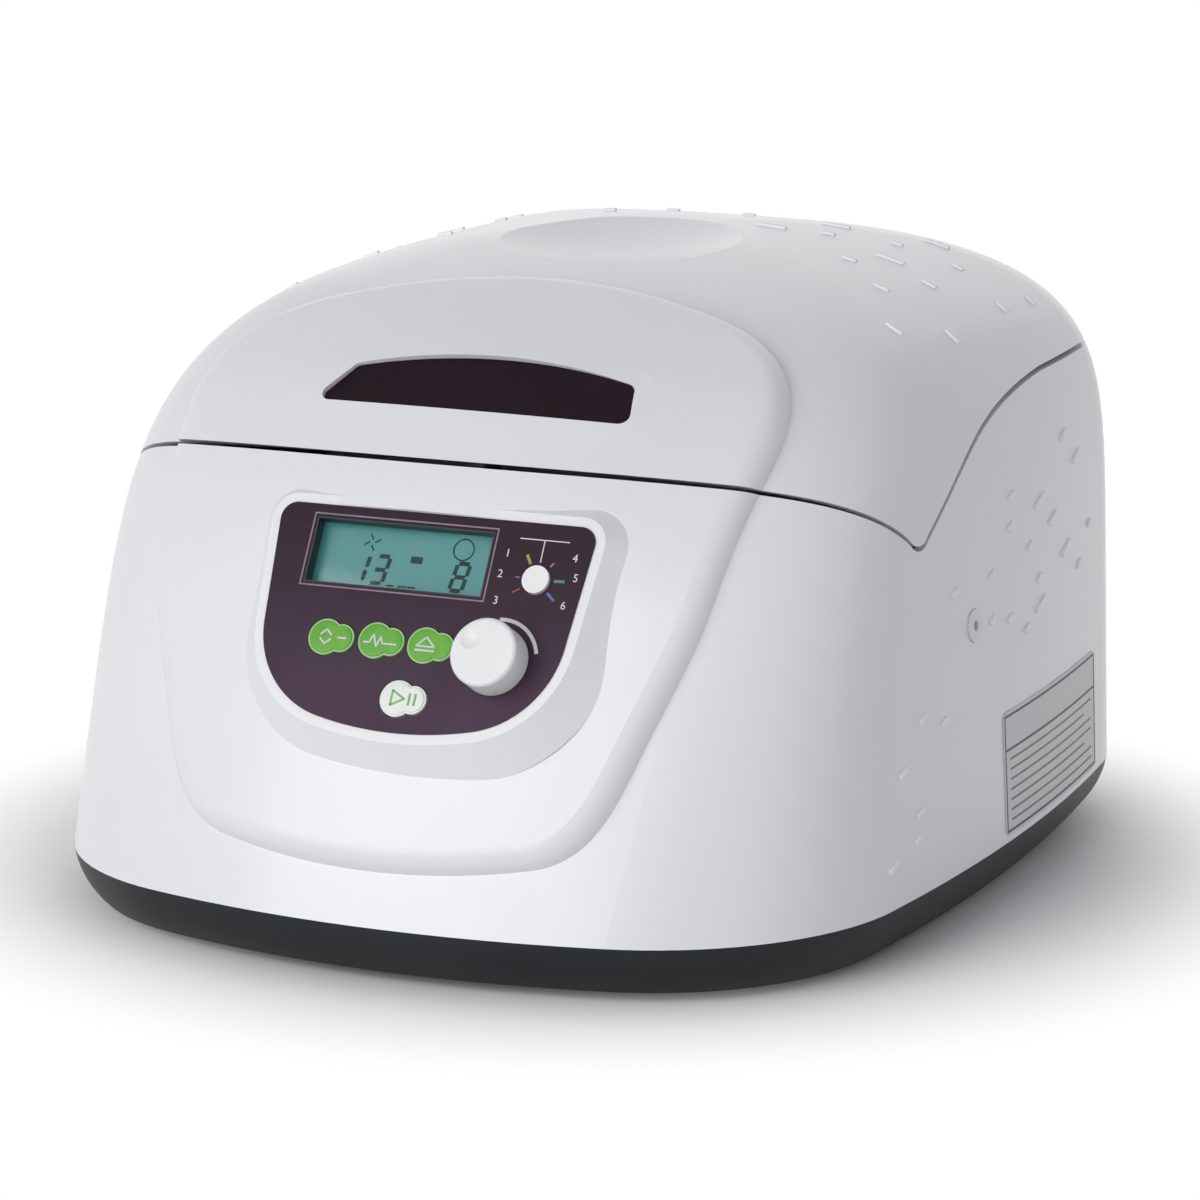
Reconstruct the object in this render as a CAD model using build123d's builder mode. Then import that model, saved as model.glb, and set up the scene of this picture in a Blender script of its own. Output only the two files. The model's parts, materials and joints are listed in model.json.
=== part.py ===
from build123d import *
from math import cos, hypot, pi, radians, sin, sqrt, tan
import os

os.makedirs("parts", exist_ok=True)

# Outer form: width, depth and height of the casing, with the origin under its middle
body_width = 275.0
body_depth = 335.0
crown_height = 197.0
crown_y = 42.0
side_draft = 0.05
front_draft = 0.32
rear_draft = 0.065
side_fullness = 8.5
front_fullness = 5.2
rear_fullness = 10.0
corner_fullness = 12.0
corner_radius = 80.0
corner_draft = 0.19
rear_corner_ratio = 0.8
front_bow_ratio = 2.15
side_bow_ratio = 6.5
rear_bow_ratio = 3.6
wall = 3.0
fit_gap = 0.3

# Base tray and feet
foot_height = 3.0
foot_radius = 12.0
foot_x = 92.0
foot_front_y = -112.0
foot_rear_y = 122.0
foot_stem_radius = 4.0
tray_top = 18.0
tray_inset = 7.7
tray_waist = 2.2
tray_wall = 3.5
tray_floor = 3.0
vent_width = 3.0
vent_length = 30.0
vent_pitch = 9.0
vent_count = 7
vent_rows_apart = 44.0
boss_x = 117.0
boss_front_y = -58.0
boss_rear_y = 100.0
boss_radius = 8.0
boss_top = 40.0
boss_web = 6.0
base_screw_radius = 2.0
base_screw_head_radius = 4.0
base_screw_head = 4.0
base_screw_length = 26.0

# Seam between body and lid: height of the split against the distance back
seam_gap = 1.5
seam_front_z = 145.5
seam_dip_z = 119.3
seam_dip_y = -58.5
seam_rear_z = 155.0

# Raised front panel that runs across body and lid
shield_rise = 5.0
shield_round = 8.0
shield_tilt = 40.0
shield_half_width = 96.0

# Control panel plane, leaning back, its bezel and its overlay
panel_x = 7.0
panel_y = -144.0
panel_z = 102.0
panel_lean = 29.2
overlay_half_width = 51.0
overlay_top = 34.0
overlay_bottom = -32.0
overlay_thickness = 0.5
overlay_lower_round = 30.0
overlay_upper_round = 5.0
bezel_margin = 3.0
bezel_depth = 9.0
bezel_slope = 9.0
panel_wall = 3.5
seat_clear = 15.0
pocket_margin = 1.0
pocket_depth = 30.0
display_u = -9.7
display_v = 20.2
display_width = 57.4
display_height = 19.9
lens_margin = 2.0
lens_thickness = 1.0
knob_u = 28.0
knob_v = -8.0
knob_radius = 10.2
knob_height = 9.5
knob_lift = 0.8
knob_stem_radius = 3.0
dimple_radius = 6.4
dimple_depth = 0.8
dial_key_u = 35.1
dial_key_v = 17.0
dial_key_radius = 4.15
key_rise = 1.2
key_travel = 0.6
key_gap = 0.3
key_flange = 0.5
key_flange_thickness = 1.0
key_stem_radius = 2.0
switch_height = 2.6
key_lobe_radius = 5.4
key_small_lobe_radius = 4.2
key_lobe_spacing = 4.4
key_lobe_shift = 0.6
select_key_uv = (-24.6, -6.0)
pulse_key_uv = (-8.5, -5.6)
open_key_uv = (7.3, -5.6)
start_key_uv = (2.5, -22.0)
board_depth = 14.4
board_thickness = 1.6
board_margin = 2.5
standoff_points = ((-44.5, 20.0), (43.5, 27.0), (-39.0, -6.0), (17.0, -24.0))
board_standoff_radius = 2.5

# Badge plate on the lid
badge_x = 3.5
badge_y = -93.5
badge_z = 162.0
badge_lean = 48.0
badge_half_width = 51.0
badge_half_height = 9.6
badge_thickness = 1.2
badge_round = 3.0
badge_pad_margin = 6.0
badge_pad_depth = 7.0
badge_pad_slope = 5.0

# Finger dish in the crown of the lid
dish_y = 3.0
dish_radius = 48.0
dish_depth = 8.0

# Ledge, bosses and lip inside the body shell
ledge_front_y = -92.0
ledge_depth = 4.0
ledge_width = 10.0
ledge_boss_radius = 6.0
ledge_boss_depth = 14.0
deck_screw_points = ((118.0, -40.0), (120.0, 60.0), (92.0, 134.0))
deck_screw_radius = 1.5
deck_screw_head_radius = 3.5
deck_screw_head = 2.2
deck_screw_length = 10.0
lip_width = 4.0
lip_depth = 2.0
lip_bite = 0.5
bushing_radius = 3.9

# Chamber, deck and bowl
bowl_y = 38.0
deck_top = 116.0
deck_thickness = 3.0
deck_front_y = -101.0
riser_thickness = 2.5
riser_clearance = 4.0
bowl_radius = 99.0
bowl_wall = 1.5
bowl_floor = 43.0
bowl_corner = 16.0
bowl_flange_radius = 106.0
bowl_flange = 1.2
gasket_inner = 100.5
gasket_outer = 105.5
gasket_height = 3.0

# Lid liner with its sealing ring
liner_z = 146.5
liner_thickness = 3.0
liner_inset = 5.5
ring_wall = 3.5
ring_gap = 0.3
liner_screw_points = ((96.0, -58.0), (112.0, 38.0), (88.0, 132.0))
liner_boss_radius = 6.0
liner_screw_radius = 1.5
liner_screw_head_radius = 3.5
liner_screw_head = 2.2
liner_screw_length = 12.0

# Rotor with slanted tube sleeves
sleeve_count = 8
sleeve_tilt = 33.0
sleeve_top_radius = 42.0
sleeve_top_z = 120.0
sleeve_outer = 9.2
sleeve_bore = 8.4
sleeve_length = 82.0
sleeve_floor = 2.0
collar_radius = 11.0
collar_thickness = 2.0
collar_offset = 5.2
rotor_plate_offset = 10.0
rotor_plate_thickness = 4.0
rotor_plate_radius = 62.0
hub_radius = 14.0
hub_bottom = 58.0
hub_top = 104.0
disc_z = 64.0
disc_thickness = 3.0
disc_radius = 94.0
shaft_radius = 5.0
shaft_collar = 2.0
shaft_fit = 0.05
shaft_top = 112.0
nut_radius = 16.0
nut_top = 119.0

# Motor under the bowl
motor_radius = 46.0
motor_bottom = 10.0
plate_z = 34.0
plate_thickness = 3.0
plate_size = 130.0
plate_corner = 12.0
damper_offset = 52.0
damper_radius = 9.0
damper_waist = 7.0
damper_flange = 7.0
motor_boss_radius = 13.0
motor_boss_top = 41.0
motor_skin = 2.5
bearing_radius = 11.0
bearing_width = 5.0
stator_inner = 25.0
stator_height = 12.0
stator_gap = 1.0
armature_radius = 24.4
boot_radius = 26.0
boot_inner = 14.0
boot_thickness = 2.0
bowl_hole = 20.0

# Hinges at the back
hinge_y = 161.8
hinge_z = 157.0
hinge_x = 70.0
knuckle_radius = 4.8
knuckle_half = 9.5
ear_thickness = 4.0
ear_gap = 0.5
pin_radius = 2.0
bracket_bottom = 122.0
bracket_top = 150.0
bracket_face_y = 163.0
strap_thickness = 2.5
strap_top = 176.0
strap_bottom = 158.0
hinge_screw_radius = 1.5
hinge_screw_head_radius = 3.0
hinge_screw_head = 1.6
hinge_screw_length = 11.0

# Lid lock under the deck
hook_y = -82.0
hook_width = 12.0
hook_thickness = 4.0
hook_bottom = 96.0
hook_window_bottom = 99.5
hook_window_top = 108.0
hook_foot = 3.0
bolt_size = 5.0
bolt_z = 104.0
bolt_travel = 12.0
bolt_head_start = 3.5
bolt_head_end = 24.0
plunger_radius = 2.4
plunger_end = 52.0
lock_slot_front = 7.5

# Power inlet and switch in the rear panel
rear_panel_half_width = 75.0
rear_panel_bottom = 26.0
rear_panel_top = 90.0
rear_land_y = 165.0
inlet_x = -48.0
inlet_z = 58.0
switch_x = -4.0
switch_z = inlet_z
flange_thickness = 2.0
land_half_width = 18.0
inlet_half_width = 15.5
inlet_half_height = 23.0
inlet_depth = 24.0
socket_z = 47.0
socket_half_width = 12.2
socket_half_height = 8.4
socket_depth = 16.0
drawer_z = 70.0
drawer_half_width = 10.5
drawer_half_height = 6.5
drawer_depth = 20.0
switch_land_half = 14.0
switch_half_width = 11.0
switch_half_height = 15.5
switch_depth = 16.0
rocker_half_width = 6.5
rocker_half_height = 10.5
rocker_depth = 12.0
rocker_axis_y = 162.0
rocker_tilt = 7.0
rocker_back = 5.0
rocker_front = 4.0
rear_vent_x = 42.0
rear_vent_pitch = 7.0
rear_vent_count = 7
rear_vent_length = 40.0

# Small parts on the right flank
plug_y = -24.0
plug_z = 90.0
plug_radius = 5.0
plug_rise = 0.6
plug_hole = 1.6
label_front_y = -4.0
label_rear_y = 94.0
label_bottom = 20.0
label_top = 58.5
label_thickness = 0.3
label_round = 3.0

# Electronics in the front of the tray
supply_box = (86.0, 50.0, 40.0)
supply_x = -56.0
driver_x = 54.0
electronics_y = -98.0
driver_size = (90.0, 50.0)
standoff_height = 8.0
standoff_radius = 3.0
sink_width = 46.0
sink_depth = 30.0
sink_height = 28.0
sink_fins = 9


def shrink(z, top, fullness):
    """Share of the reach that is left at height z of a dome that closes at top."""
    t = max((z - tray_top) / (top - tray_top), 0)
    return sqrt(max(1 - t**fullness, 0))


def touching_centre(c1, r1, c2, r2, r):
    """Centre of a circle of radius r that lies inside two larger circles and touches both."""
    dx = c2[0] - c1[0]
    dy = c2[1] - c1[1]
    span = hypot(dx, dy)
    a = ((r1 - r) ** 2 - (r2 - r) ** 2 + span**2) / (2 * span)
    h = sqrt(max((r1 - r) ** 2 - a**2, 0))
    mid = (c1[0] + dx / span * a, c1[1] + dy / span * a)
    step = (-dy / span * h, dx / span * h)
    return max((mid[0] + step[0], mid[1] + step[1]), (mid[0] - step[0], mid[1] - step[1]))


def on_circle(centre, towards, r):
    """Point on the circle about centre, in the direction of another point."""
    reach = hypot(towards[0] - centre[0], towards[1] - centre[1])
    return tuple(centre[i] + (towards[i] - centre[i]) / reach * r for i in range(2))


def between(centre, r, a, b):
    """Point on the circle halfway from a to b."""
    return on_circle(centre, ((a[0] + b[0]) / 2, (a[1] + b[1]) / 2), r)


def mirrored(p):
    """The same point on the other side of the middle plane."""
    return (-p[0], p[1])


def outline(z, grow=0.0):
    """Horizontal section of the casing at height z: eight tangent arcs, grown outward by grow."""
    top = crown_height + grow
    rise = max(z - tray_top, 0)
    half = (body_width / 2 + grow - side_draft * rise) * shrink(z, top, side_fullness)
    front_reach = crown_y + body_depth / 2 + grow - front_draft * rise
    rear_reach = body_depth / 2 - crown_y + grow - rear_draft * rise
    front = crown_y - front_reach * shrink(z, top, front_fullness)
    rear = crown_y + rear_reach * shrink(z, top, rear_fullness)
    corner = (corner_radius + grow - corner_draft * rise) * shrink(z, top, corner_fullness)
    rear_corner = corner * rear_corner_ratio
    front_c = (0, front + front_bow_ratio * half)
    side_r = side_bow_ratio * half
    side_c = (half - side_r, (front + rear) / 2)
    rear_r = rear_bow_ratio * half
    rear_c = (0, rear - rear_r)
    c1 = touching_centre(front_c, front_bow_ratio * half, side_c, side_r, corner)
    c2 = touching_centre(side_c, side_r, rear_c, rear_r, rear_corner)
    p1 = on_circle(front_c, c1, front_bow_ratio * half)
    p2 = on_circle(side_c, c1, side_r)
    p3 = on_circle(side_c, c2, side_r)
    p4 = on_circle(rear_c, c2, rear_r)
    m1 = between(c1, corner, p1, p2)
    m2 = between(side_c, side_r, p2, p3)
    m3 = between(c2, rear_corner, p3, p4)
    with BuildSketch(Plane.XY.offset(z)) as section:
        with BuildLine():
            ThreePointArc(mirrored(p1), (0, front), p1)
            ThreePointArc(p1, m1, p2)
            ThreePointArc(p2, m2, p3)
            ThreePointArc(p3, m3, p4)
            ThreePointArc(p4, (0, rear), mirrored(p4))
            ThreePointArc(mirrored(p4), mirrored(m3), mirrored(p3))
            ThreePointArc(mirrored(p3), mirrored(m2), mirrored(p2))
            ThreePointArc(mirrored(p2), mirrored(m1), mirrored(p1))
        make_face()
    return section.sketch


def dome(grow=0.0, low=tray_top):
    """The casing's outer form from height low to its crown, grown outward by grow."""
    steps = 15
    closing = 0.35
    span = crown_height + grow - closing - low
    with BuildPart() as form:
        for i in range(steps + 1):
            add(outline(low + span * sin(pi / 2 * i / steps) ** 0.9, grow))
        loft()
    return form.part


def slab(grow, low, high):
    """The casing's form between two heights of its steep lower part, grown outward by grow."""
    with BuildPart() as form:
        for z in (low, (low + high) / 2, high):
            add(outline(z, grow))
        loft()
    return form.part


outer_form = dome()
proud_form = dome(shield_rise)
inner_form = dome(-wall, tray_top - 2)
seated_form = dome(-wall - fit_gap, tray_top - 2)
boss_form = dome(-wall / 2, tray_top)

shield_plane = Plane(
    origin=(0, 0, 0),
    x_dir=(1, 0, 0),
    z_dir=(0, -cos(radians(shield_tilt)), sin(radians(shield_tilt))),
)
panel_plane = Plane(
    origin=(panel_x, panel_y, panel_z),
    x_dir=(1, 0, 0),
    z_dir=(0, -cos(radians(panel_lean)), sin(radians(panel_lean))),
)
badge_plane = Plane(
    origin=(badge_x, badge_y, badge_z),
    x_dir=(1, 0, 0),
    z_dir=(0, -cos(radians(badge_lean)), sin(radians(badge_lean))),
)


def shield_prism():
    """Prism through the outline of the raised front panel."""
    w = shield_half_width
    with BuildPart() as prism:
        with BuildSketch(shield_plane):
            with BuildLine():
                low = ThreePointArc((-50, -72), (0, -79), (50, -72))
                flank = Spline((50, -72), (77, -36), (w - 6, 8), tangents=(low % 1, (0.14, 1)))
                side = Line((w - 6, 8), (w, 50))
                shoulder = Spline((w, 50), (w - 6, 85), (56, 108), tangents=((0.14, 1), (-1, 0.27)))
                ThreePointArc((56, 108), (0, 118), (-56, 108))
                mirror(flank, about=Plane.YZ)
                mirror(side, about=Plane.YZ)
                mirror(shoulder, about=Plane.YZ)
            make_face()
        extrude(amount=260)
    return prism.part


def overlay_face(offset_along=0.0, margin=0.0):
    """Outline of the control panel's overlay: wide at the top, rounded below."""
    corner_v = overlay_bottom + 10
    corner_u = overlay_half_width - 4.5
    with BuildSketch(panel_plane.offset(offset_along)) as face:
        with BuildLine():
            Polyline(
                (-corner_u, corner_v),
                (-overlay_half_width, overlay_top),
                (overlay_half_width, overlay_top),
                (corner_u, corner_v),
            )
            ThreePointArc((corner_u, corner_v), (0, overlay_bottom), (-corner_u, corner_v))
        make_face()
        fillet(face.vertices().group_by(Axis.Y)[0], overlay_lower_round)
        fillet(face.vertices().group_by(Axis.Y)[-1], overlay_upper_round)
        if margin:
            offset(amount=margin)
    return face.sketch


def badge_face(offset_along=0.0, margin=0.0):
    """Outline of the badge plate: a low arch with a curved lower edge."""
    w = badge_half_width
    h = badge_half_height
    with BuildSketch(badge_plane.offset(offset_along)) as face:
        with BuildLine():
            ThreePointArc((-w, -h + 1), (0, -h - 1), (w, -h + 1))
            Line((w, -h + 1), (w - 3, h - 4))
            ThreePointArc((w - 3, h - 4), (0, h + 2), (-w + 9, h - 4))
            Line((-w + 9, h - 4), (-w, -h + 1))
        make_face()
        fillet(face.vertices(), badge_round)
        if margin:
            offset(amount=margin)
    return face.sketch


def plateau(face_maker, margin, depth, slope):
    """Flat-topped rise with sloping sides, from its plane back into the casing."""
    with BuildPart() as rise:
        add(face_maker(0, margin))
        add(face_maker(-depth, margin + slope))
        loft(ruled=True)
    return rise.part


def dish_tool():
    """Ball that presses the finger dish into the crown."""
    r = (dish_radius**2 + dish_depth**2) / (2 * dish_depth)
    return Pos(0, dish_y, crown_height - dish_depth + r) * Sphere(r, mode=Mode.PRIVATE)


def casing():
    """The whole closed casing, solid, with its raised panel, bezel, badge pad and dish."""
    with BuildPart() as solid:
        add(proud_form)
        add(shield_prism(), mode=Mode.INTERSECT)
        rim = solid.edges().filter_by(GeomType.BSPLINE)
        rim = rim.filter_by(lambda e: shield_plane.to_local_coords(e @ 0.5).Z > 140 and e.length > 15)
        fillet(rim, shield_round)
        add(outer_form)
        add(plateau(overlay_face, bezel_margin, bezel_depth, bezel_slope))
        add(plateau(badge_face, badge_pad_margin, badge_pad_depth, badge_pad_slope))
        extrude(overlay_face(0, fit_gap), amount=seat_clear, mode=Mode.SUBTRACT)
        extrude(badge_face(0, fit_gap), amount=seat_clear, mode=Mode.SUBTRACT)
        add(dish_tool(), mode=Mode.SUBTRACT)
    return solid.part


def above_seam(shift):
    """Everything above the split line, moved up by shift."""
    with BuildPart() as upper:
        with BuildSketch(Plane.YZ.offset(-body_width)):
            with BuildLine():
                Line((-260, seam_front_z + 2 + shift), (-120, seam_front_z + shift))
                Spline(
                    (-120, seam_front_z + shift),
                    (-93, 138 + shift),
                    (seam_dip_y - 5.5, seam_dip_z + 2.4 + shift),
                )
                ThreePointArc(
                    (seam_dip_y - 5.5, seam_dip_z + 2.4 + shift),
                    (seam_dip_y, seam_dip_z + shift),
                    (seam_dip_y + 5.5, seam_dip_z + 2 + shift),
                )
                Spline(
                    (seam_dip_y + 5.5, seam_dip_z + 2 + shift),
                    (-32, 133 + shift),
                    (-6, 145 + shift),
                    (23, 151.8 + shift),
                    (60, seam_rear_z + shift),
                )
                Line((60, seam_rear_z + shift), (260, seam_rear_z + shift))
                Polyline(
                    (260, seam_rear_z + shift),
                    (260, 2 * crown_height),
                    (-260, 2 * crown_height),
                    (-260, seam_front_z + 2 + shift),
                )
            make_face()
        extrude(amount=2 * body_width)
    return upper.part


solid_casing = casing()
lid_space = above_seam(seam_gap / 2)
open_space = above_seam(-seam_gap / 2)


def cylinder_between(r, z_low, z_high, x=0.0, y=0.0):
    """Upright cylinder from one height to another."""
    return Pos(x, y, (z_low + z_high) / 2) * Cylinder(r, z_high - z_low, mode=Mode.PRIVATE)


def block(x, y, z):
    """Box from its two limits along each axis."""
    size = (x[1] - x[0], y[1] - y[0], z[1] - z[0])
    return Pos(sum(x) / 2, sum(y) / 2, sum(z) / 2) * Box(*size, mode=Mode.PRIVATE)


def panel_cylinder(u, v, r, low, high):
    """Cylinder square to the control panel, from one depth to another."""
    return panel_plane.location * Pos(u, v, (low + high) / 2) * Cylinder(r, high - low, mode=Mode.PRIVATE)


def panel_block(u, v, depth):
    """Box square to the control panel, from its two limits along each direction."""
    size = (u[1] - u[0], v[1] - v[0], depth[1] - depth[0])
    return panel_plane.location * Pos(sum(u) / 2, sum(v) / 2, sum(depth) / 2) * Box(*size, mode=Mode.PRIVATE)


def save(builder, label):
    """Name a finished piece and write it to its file."""
    builder.part.label = label
    export_step(builder.part, f"parts/{label}.step")


def lobed_key_face(uv, level, grow=0.0):
    """Cloud-like outline of a key: a large round lobe and a smaller one beside it."""
    left = uv[0] - key_lobe_spacing / 2
    right = uv[0] + key_lobe_spacing / 2 + key_lobe_shift
    with BuildSketch(panel_plane.offset(level)) as face:
        with Locations((left, uv[1])):
            Circle(key_lobe_radius + grow)
        with Locations((right, uv[1])):
            Circle(key_small_lobe_radius + grow)
        with Locations(((left + right) / 2, uv[1])):
            Rectangle(right - left, 2 * (key_small_lobe_radius + grow) - 0.6)
    return face.sketch


lobed_keys = {
    "select_key": select_key_uv,
    "pulse_key": pulse_key_uv,
    "open_key": open_key_uv,
    "start_key": start_key_uv,
}


def lid_clearance():
    """Space above the seam that the deck's riser stays out of."""
    return above_seam(-seam_gap / 2 - riser_clearance)


def rear_opening(clearance):
    """Rectangular way through the rear wall for the rear panel, less a clearance all round."""
    half = rear_panel_half_width - clearance
    return block(
        (-half, half),
        (crown_y, body_depth),
        (rear_panel_bottom + clearance, rear_panel_top - clearance),
    )


def display_opening(grow):
    """Window through the control panel for the display."""
    half = display_width / 2 + grow
    tall = display_height / 2 + grow
    return panel_block(
        (display_u - half, display_u + half),
        (display_v - tall, display_v + tall),
        (-pocket_depth, 5),
    )


def panel_pocket():
    """Hollow behind the control panel, with the overlay's outline."""
    with BuildPart() as pocket:
        extrude(overlay_face(-panel_wall, -pocket_margin), amount=-pocket_depth)
    return pocket.part


def lobed_prism(uv, high, low, grow=0.0):
    """Solid key shape between two depths, grown outward by grow."""
    with BuildPart() as prism:
        extrude(lobed_key_face(uv, high, grow), amount=low - high)
    return prism.part


def panel_holes(low):
    """Holes through the control panel for the knob's bushing and the five keys."""
    holes = [lobed_prism(uv, 5, low, key_gap) for uv in lobed_keys.values()]
    holes.append(panel_cylinder(knob_u, knob_v, bushing_radius + fit_gap, low, 5))
    holes.append(panel_cylinder(dial_key_u, dial_key_v, dial_key_radius + key_gap, low, 5))
    return holes


def plug_bore(r):
    """Cylinder through the right flank at the release plug."""
    return Pos(body_width / 2, plug_y, plug_z) * Rot(0, 90, 0) * Cylinder(r, 40, mode=Mode.PRIVATE)


def across(r, y_low, y_high, x, z):
    """Cylinder along Y from one depth to another."""
    return Pos(x, (y_low + y_high) / 2, z) * Rot(90, 0, 0) * Cylinder(r, y_high - y_low, mode=Mode.PRIVATE)


def foot_points():
    """Centres of the four feet."""
    return [(sx * foot_x, y) for sx in (-1, 1) for y in (foot_front_y, foot_rear_y)]


def lying(r, x_low, x_high, y, z):
    """Cylinder along X from one side to another."""
    return Pos((x_low + x_high) / 2, y, z) * Rot(0, 90, 0) * Cylinder(r, x_high - x_low, mode=Mode.PRIVATE)


def casing_screws():
    """Centres of the four screws that hold the tray to the body shell."""
    return [(sx * boss_x, y) for sx in (-1, 1) for y in (boss_front_y, boss_rear_y)]


def liner_screws():
    """Centres of the six screws that hold the liner up to the lid shell."""
    return [(sx * x, y) for sx in (-1, 1) for x, y in liner_screw_points]


def deck_screws():
    """Centres of the six screws that hold the deck down on the ledge."""
    return [(sx * x, y) for sx in (-1, 1) for x, y in deck_screw_points]


def hinge_screws_at():
    """Places, across and up, of the four screws that hold the hinge brackets."""
    return [(sx * hinge_x, z) for sx in (-1, 1) for z in (bracket_bottom + 6, bracket_bottom + 16)]


# Body shell: skin below the seam, deck ledge, screw bosses and openings
with BuildPart() as body_ribs:
    ledge_top = deck_top - deck_thickness
    extrude(outline(ledge_top, -wall / 2), amount=-ledge_depth)
    extrude(outline(ledge_top, -wall - ledge_width), amount=-ledge_depth, mode=Mode.SUBTRACT)
    front_half = block((-body_width, body_width), (-body_depth, ledge_front_y), (0, crown_height))
    add(front_half, mode=Mode.SUBTRACT)
    boss_low = ledge_top - ledge_boss_depth
    add([cylinder_between(ledge_boss_radius, boss_low, ledge_top, x, y) for x, y in deck_screws()])

with BuildPart() as casing_bosses:
    for x, y in casing_screws():
        add(cylinder_between(boss_radius, tray_top, boss_top, x, y))
        reach = sorted((x, x / boss_x * body_width / 2))
        add(block(reach, (y - boss_web / 2, y + boss_web / 2), (tray_top, boss_top)))
    add(boss_form, mode=Mode.INTERSECT)

with BuildPart() as rear_lip:
    lip_span = (rear_panel_bottom - lip_width, rear_panel_top + lip_width)
    add(slab(-wall + lip_bite, *lip_span))
    add(slab(-wall - lip_depth, *lip_span), mode=Mode.SUBTRACT)
    add(rear_opening(-lip_width), mode=Mode.INTERSECT)
    add(rear_opening(lip_width), mode=Mode.SUBTRACT)

with BuildPart() as body_shell:
    add(solid_casing)
    add([inner_form, open_space, rear_opening(0)], mode=Mode.SUBTRACT)
    add([body_ribs.part, casing_bosses.part, rear_lip.part])
    cuts = [cylinder_between(base_screw_radius, 0, boss_top - 4, x, y) for x, y in casing_screws()]
    blind_z = boss_low + 2
    cuts += [cylinder_between(deck_screw_radius, blind_z, ledge_top, x, y) for x, y in deck_screws()]
    cuts += [panel_pocket(), display_opening(0), plug_bore(plug_radius + fit_gap / 2)]
    cuts += panel_holes(-pocket_depth)
    cuts += [across(hinge_screw_radius, hinge_y - 15, bracket_face_y, x, z) for x, z in hinge_screws_at()]
    add(cuts, mode=Mode.SUBTRACT)
save(body_shell, "body_shell")

# Lid shell: skin above the seam with bosses for the liner
with BuildPart() as lid_bosses:
    liner_top = liner_z + liner_thickness
    dish_low = crown_height - dish_depth - 2 * wall
    add([cylinder_between(liner_boss_radius, liner_top, crown_height, x, y) for x, y in liner_screws()])
    add(cylinder_between(dish_radius + wall, dish_low, crown_height, 0, dish_y))
    add(boss_form, mode=Mode.INTERSECT)
    add(dish_tool(), mode=Mode.SUBTRACT)

with BuildPart() as lid_shell:
    add(solid_casing)
    add(inner_form, mode=Mode.SUBTRACT)
    add(lid_space, mode=Mode.INTERSECT)
    add(lid_bosses.part)
    bore_top = liner_top + liner_screw_length
    cuts = [cylinder_between(liner_screw_radius, liner_top, bore_top, x, y) for x, y in liner_screws()]
    add(cuts, mode=Mode.SUBTRACT)
save(lid_shell, "lid_shell")

# Lid liner: flat underside of the lid with the ring that closes on the gasket
with BuildPart() as lid_liner:
    gasket_top = deck_top + bowl_flange + gasket_height
    add(outline(seam_rear_z, -liner_inset).translate((0, 0, liner_z - seam_rear_z)))
    extrude(amount=liner_thickness)
    ring_middle = (gasket_inner + gasket_outer) / 2
    add(cylinder_between(ring_middle + ring_wall / 2, gasket_top + ring_gap, liner_z, 0, bowl_y))
    add(
        cylinder_between(ring_middle - ring_wall / 2, gasket_top + ring_gap, liner_z, 0, bowl_y),
        mode=Mode.SUBTRACT,
    )
    for x, y in liner_screws():
        add(cylinder_between(liner_screw_radius, liner_z, liner_top, x, y), mode=Mode.SUBTRACT)
save(lid_liner, "lid_liner")

# Screws that hold the liner
with BuildPart() as liner_screw_group:
    for x, y in liner_screws():
        add(cylinder_between(liner_screw_head_radius, liner_z - liner_screw_head, liner_z, x, y))
        add(cylinder_between(liner_screw_radius, liner_z, liner_top + liner_screw_length - 2, x, y))
save(liner_screw_group, "liner_screws")

# Badge plate
with BuildPart() as lid_badge:
    extrude(badge_face(), amount=badge_thickness)
save(lid_badge, "lid_badge")

# Hook under the lid for the lock bolt
with BuildPart() as lid_hook:
    hook_front = hook_y - hook_width / 2
    hook_rear = hook_y + hook_width / 2
    half_hook = hook_thickness / 2
    add(block((-half_hook, half_hook), (hook_front, hook_rear), (hook_bottom, liner_z)))
    add(block((-hook_width, hook_width), (hook_front, hook_rear), (liner_z - hook_foot, liner_z)))
    window_y = (hook_front + 2, hook_rear - 2)
    add(block((-half_hook, half_hook), window_y, (hook_window_bottom, hook_window_top)), mode=Mode.SUBTRACT)
save(lid_hook, "lid_hook")

# Deck around the chamber, with a riser that shuts off the electronics
with BuildPart() as top_deck:
    deck_low = deck_top - deck_thickness
    add(block((-body_width, body_width), (deck_front_y, body_depth), (deck_low, deck_top)))
    riser_back = deck_front_y + riser_thickness
    riser_top = seam_front_z - riser_clearance - 3
    add(block((-body_width, body_width), (deck_front_y, riser_back), (deck_low, riser_top)))
    add(seated_form, mode=Mode.INTERSECT)
    add(lid_clearance(), mode=Mode.SUBTRACT)
    add(cylinder_between(bowl_radius + bowl_wall + fit_gap, 0, deck_top + 1, 0, bowl_y), mode=Mode.SUBTRACT)
    half_slot = hook_thickness / 2 + 1.5
    add(
        block(
            (-half_slot, half_slot),
            (hook_front - lock_slot_front + 1, hook_rear + 1),
            (deck_low - 1, deck_top + 1),
        ),
        mode=Mode.SUBTRACT,
    )
    for x, y in deck_screws():
        add(cylinder_between(deck_screw_radius, deck_low - 1, deck_top + 1, x, y), mode=Mode.SUBTRACT)
save(top_deck, "top_deck")

# Screws that hold the deck
with BuildPart() as deck_screw_group:
    for x, y in deck_screws():
        add(cylinder_between(deck_screw_head_radius, deck_top, deck_top + deck_screw_head, x, y))
        add(cylinder_between(deck_screw_radius, deck_top - deck_screw_length, deck_top, x, y))
save(deck_screw_group, "deck_screws")

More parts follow.
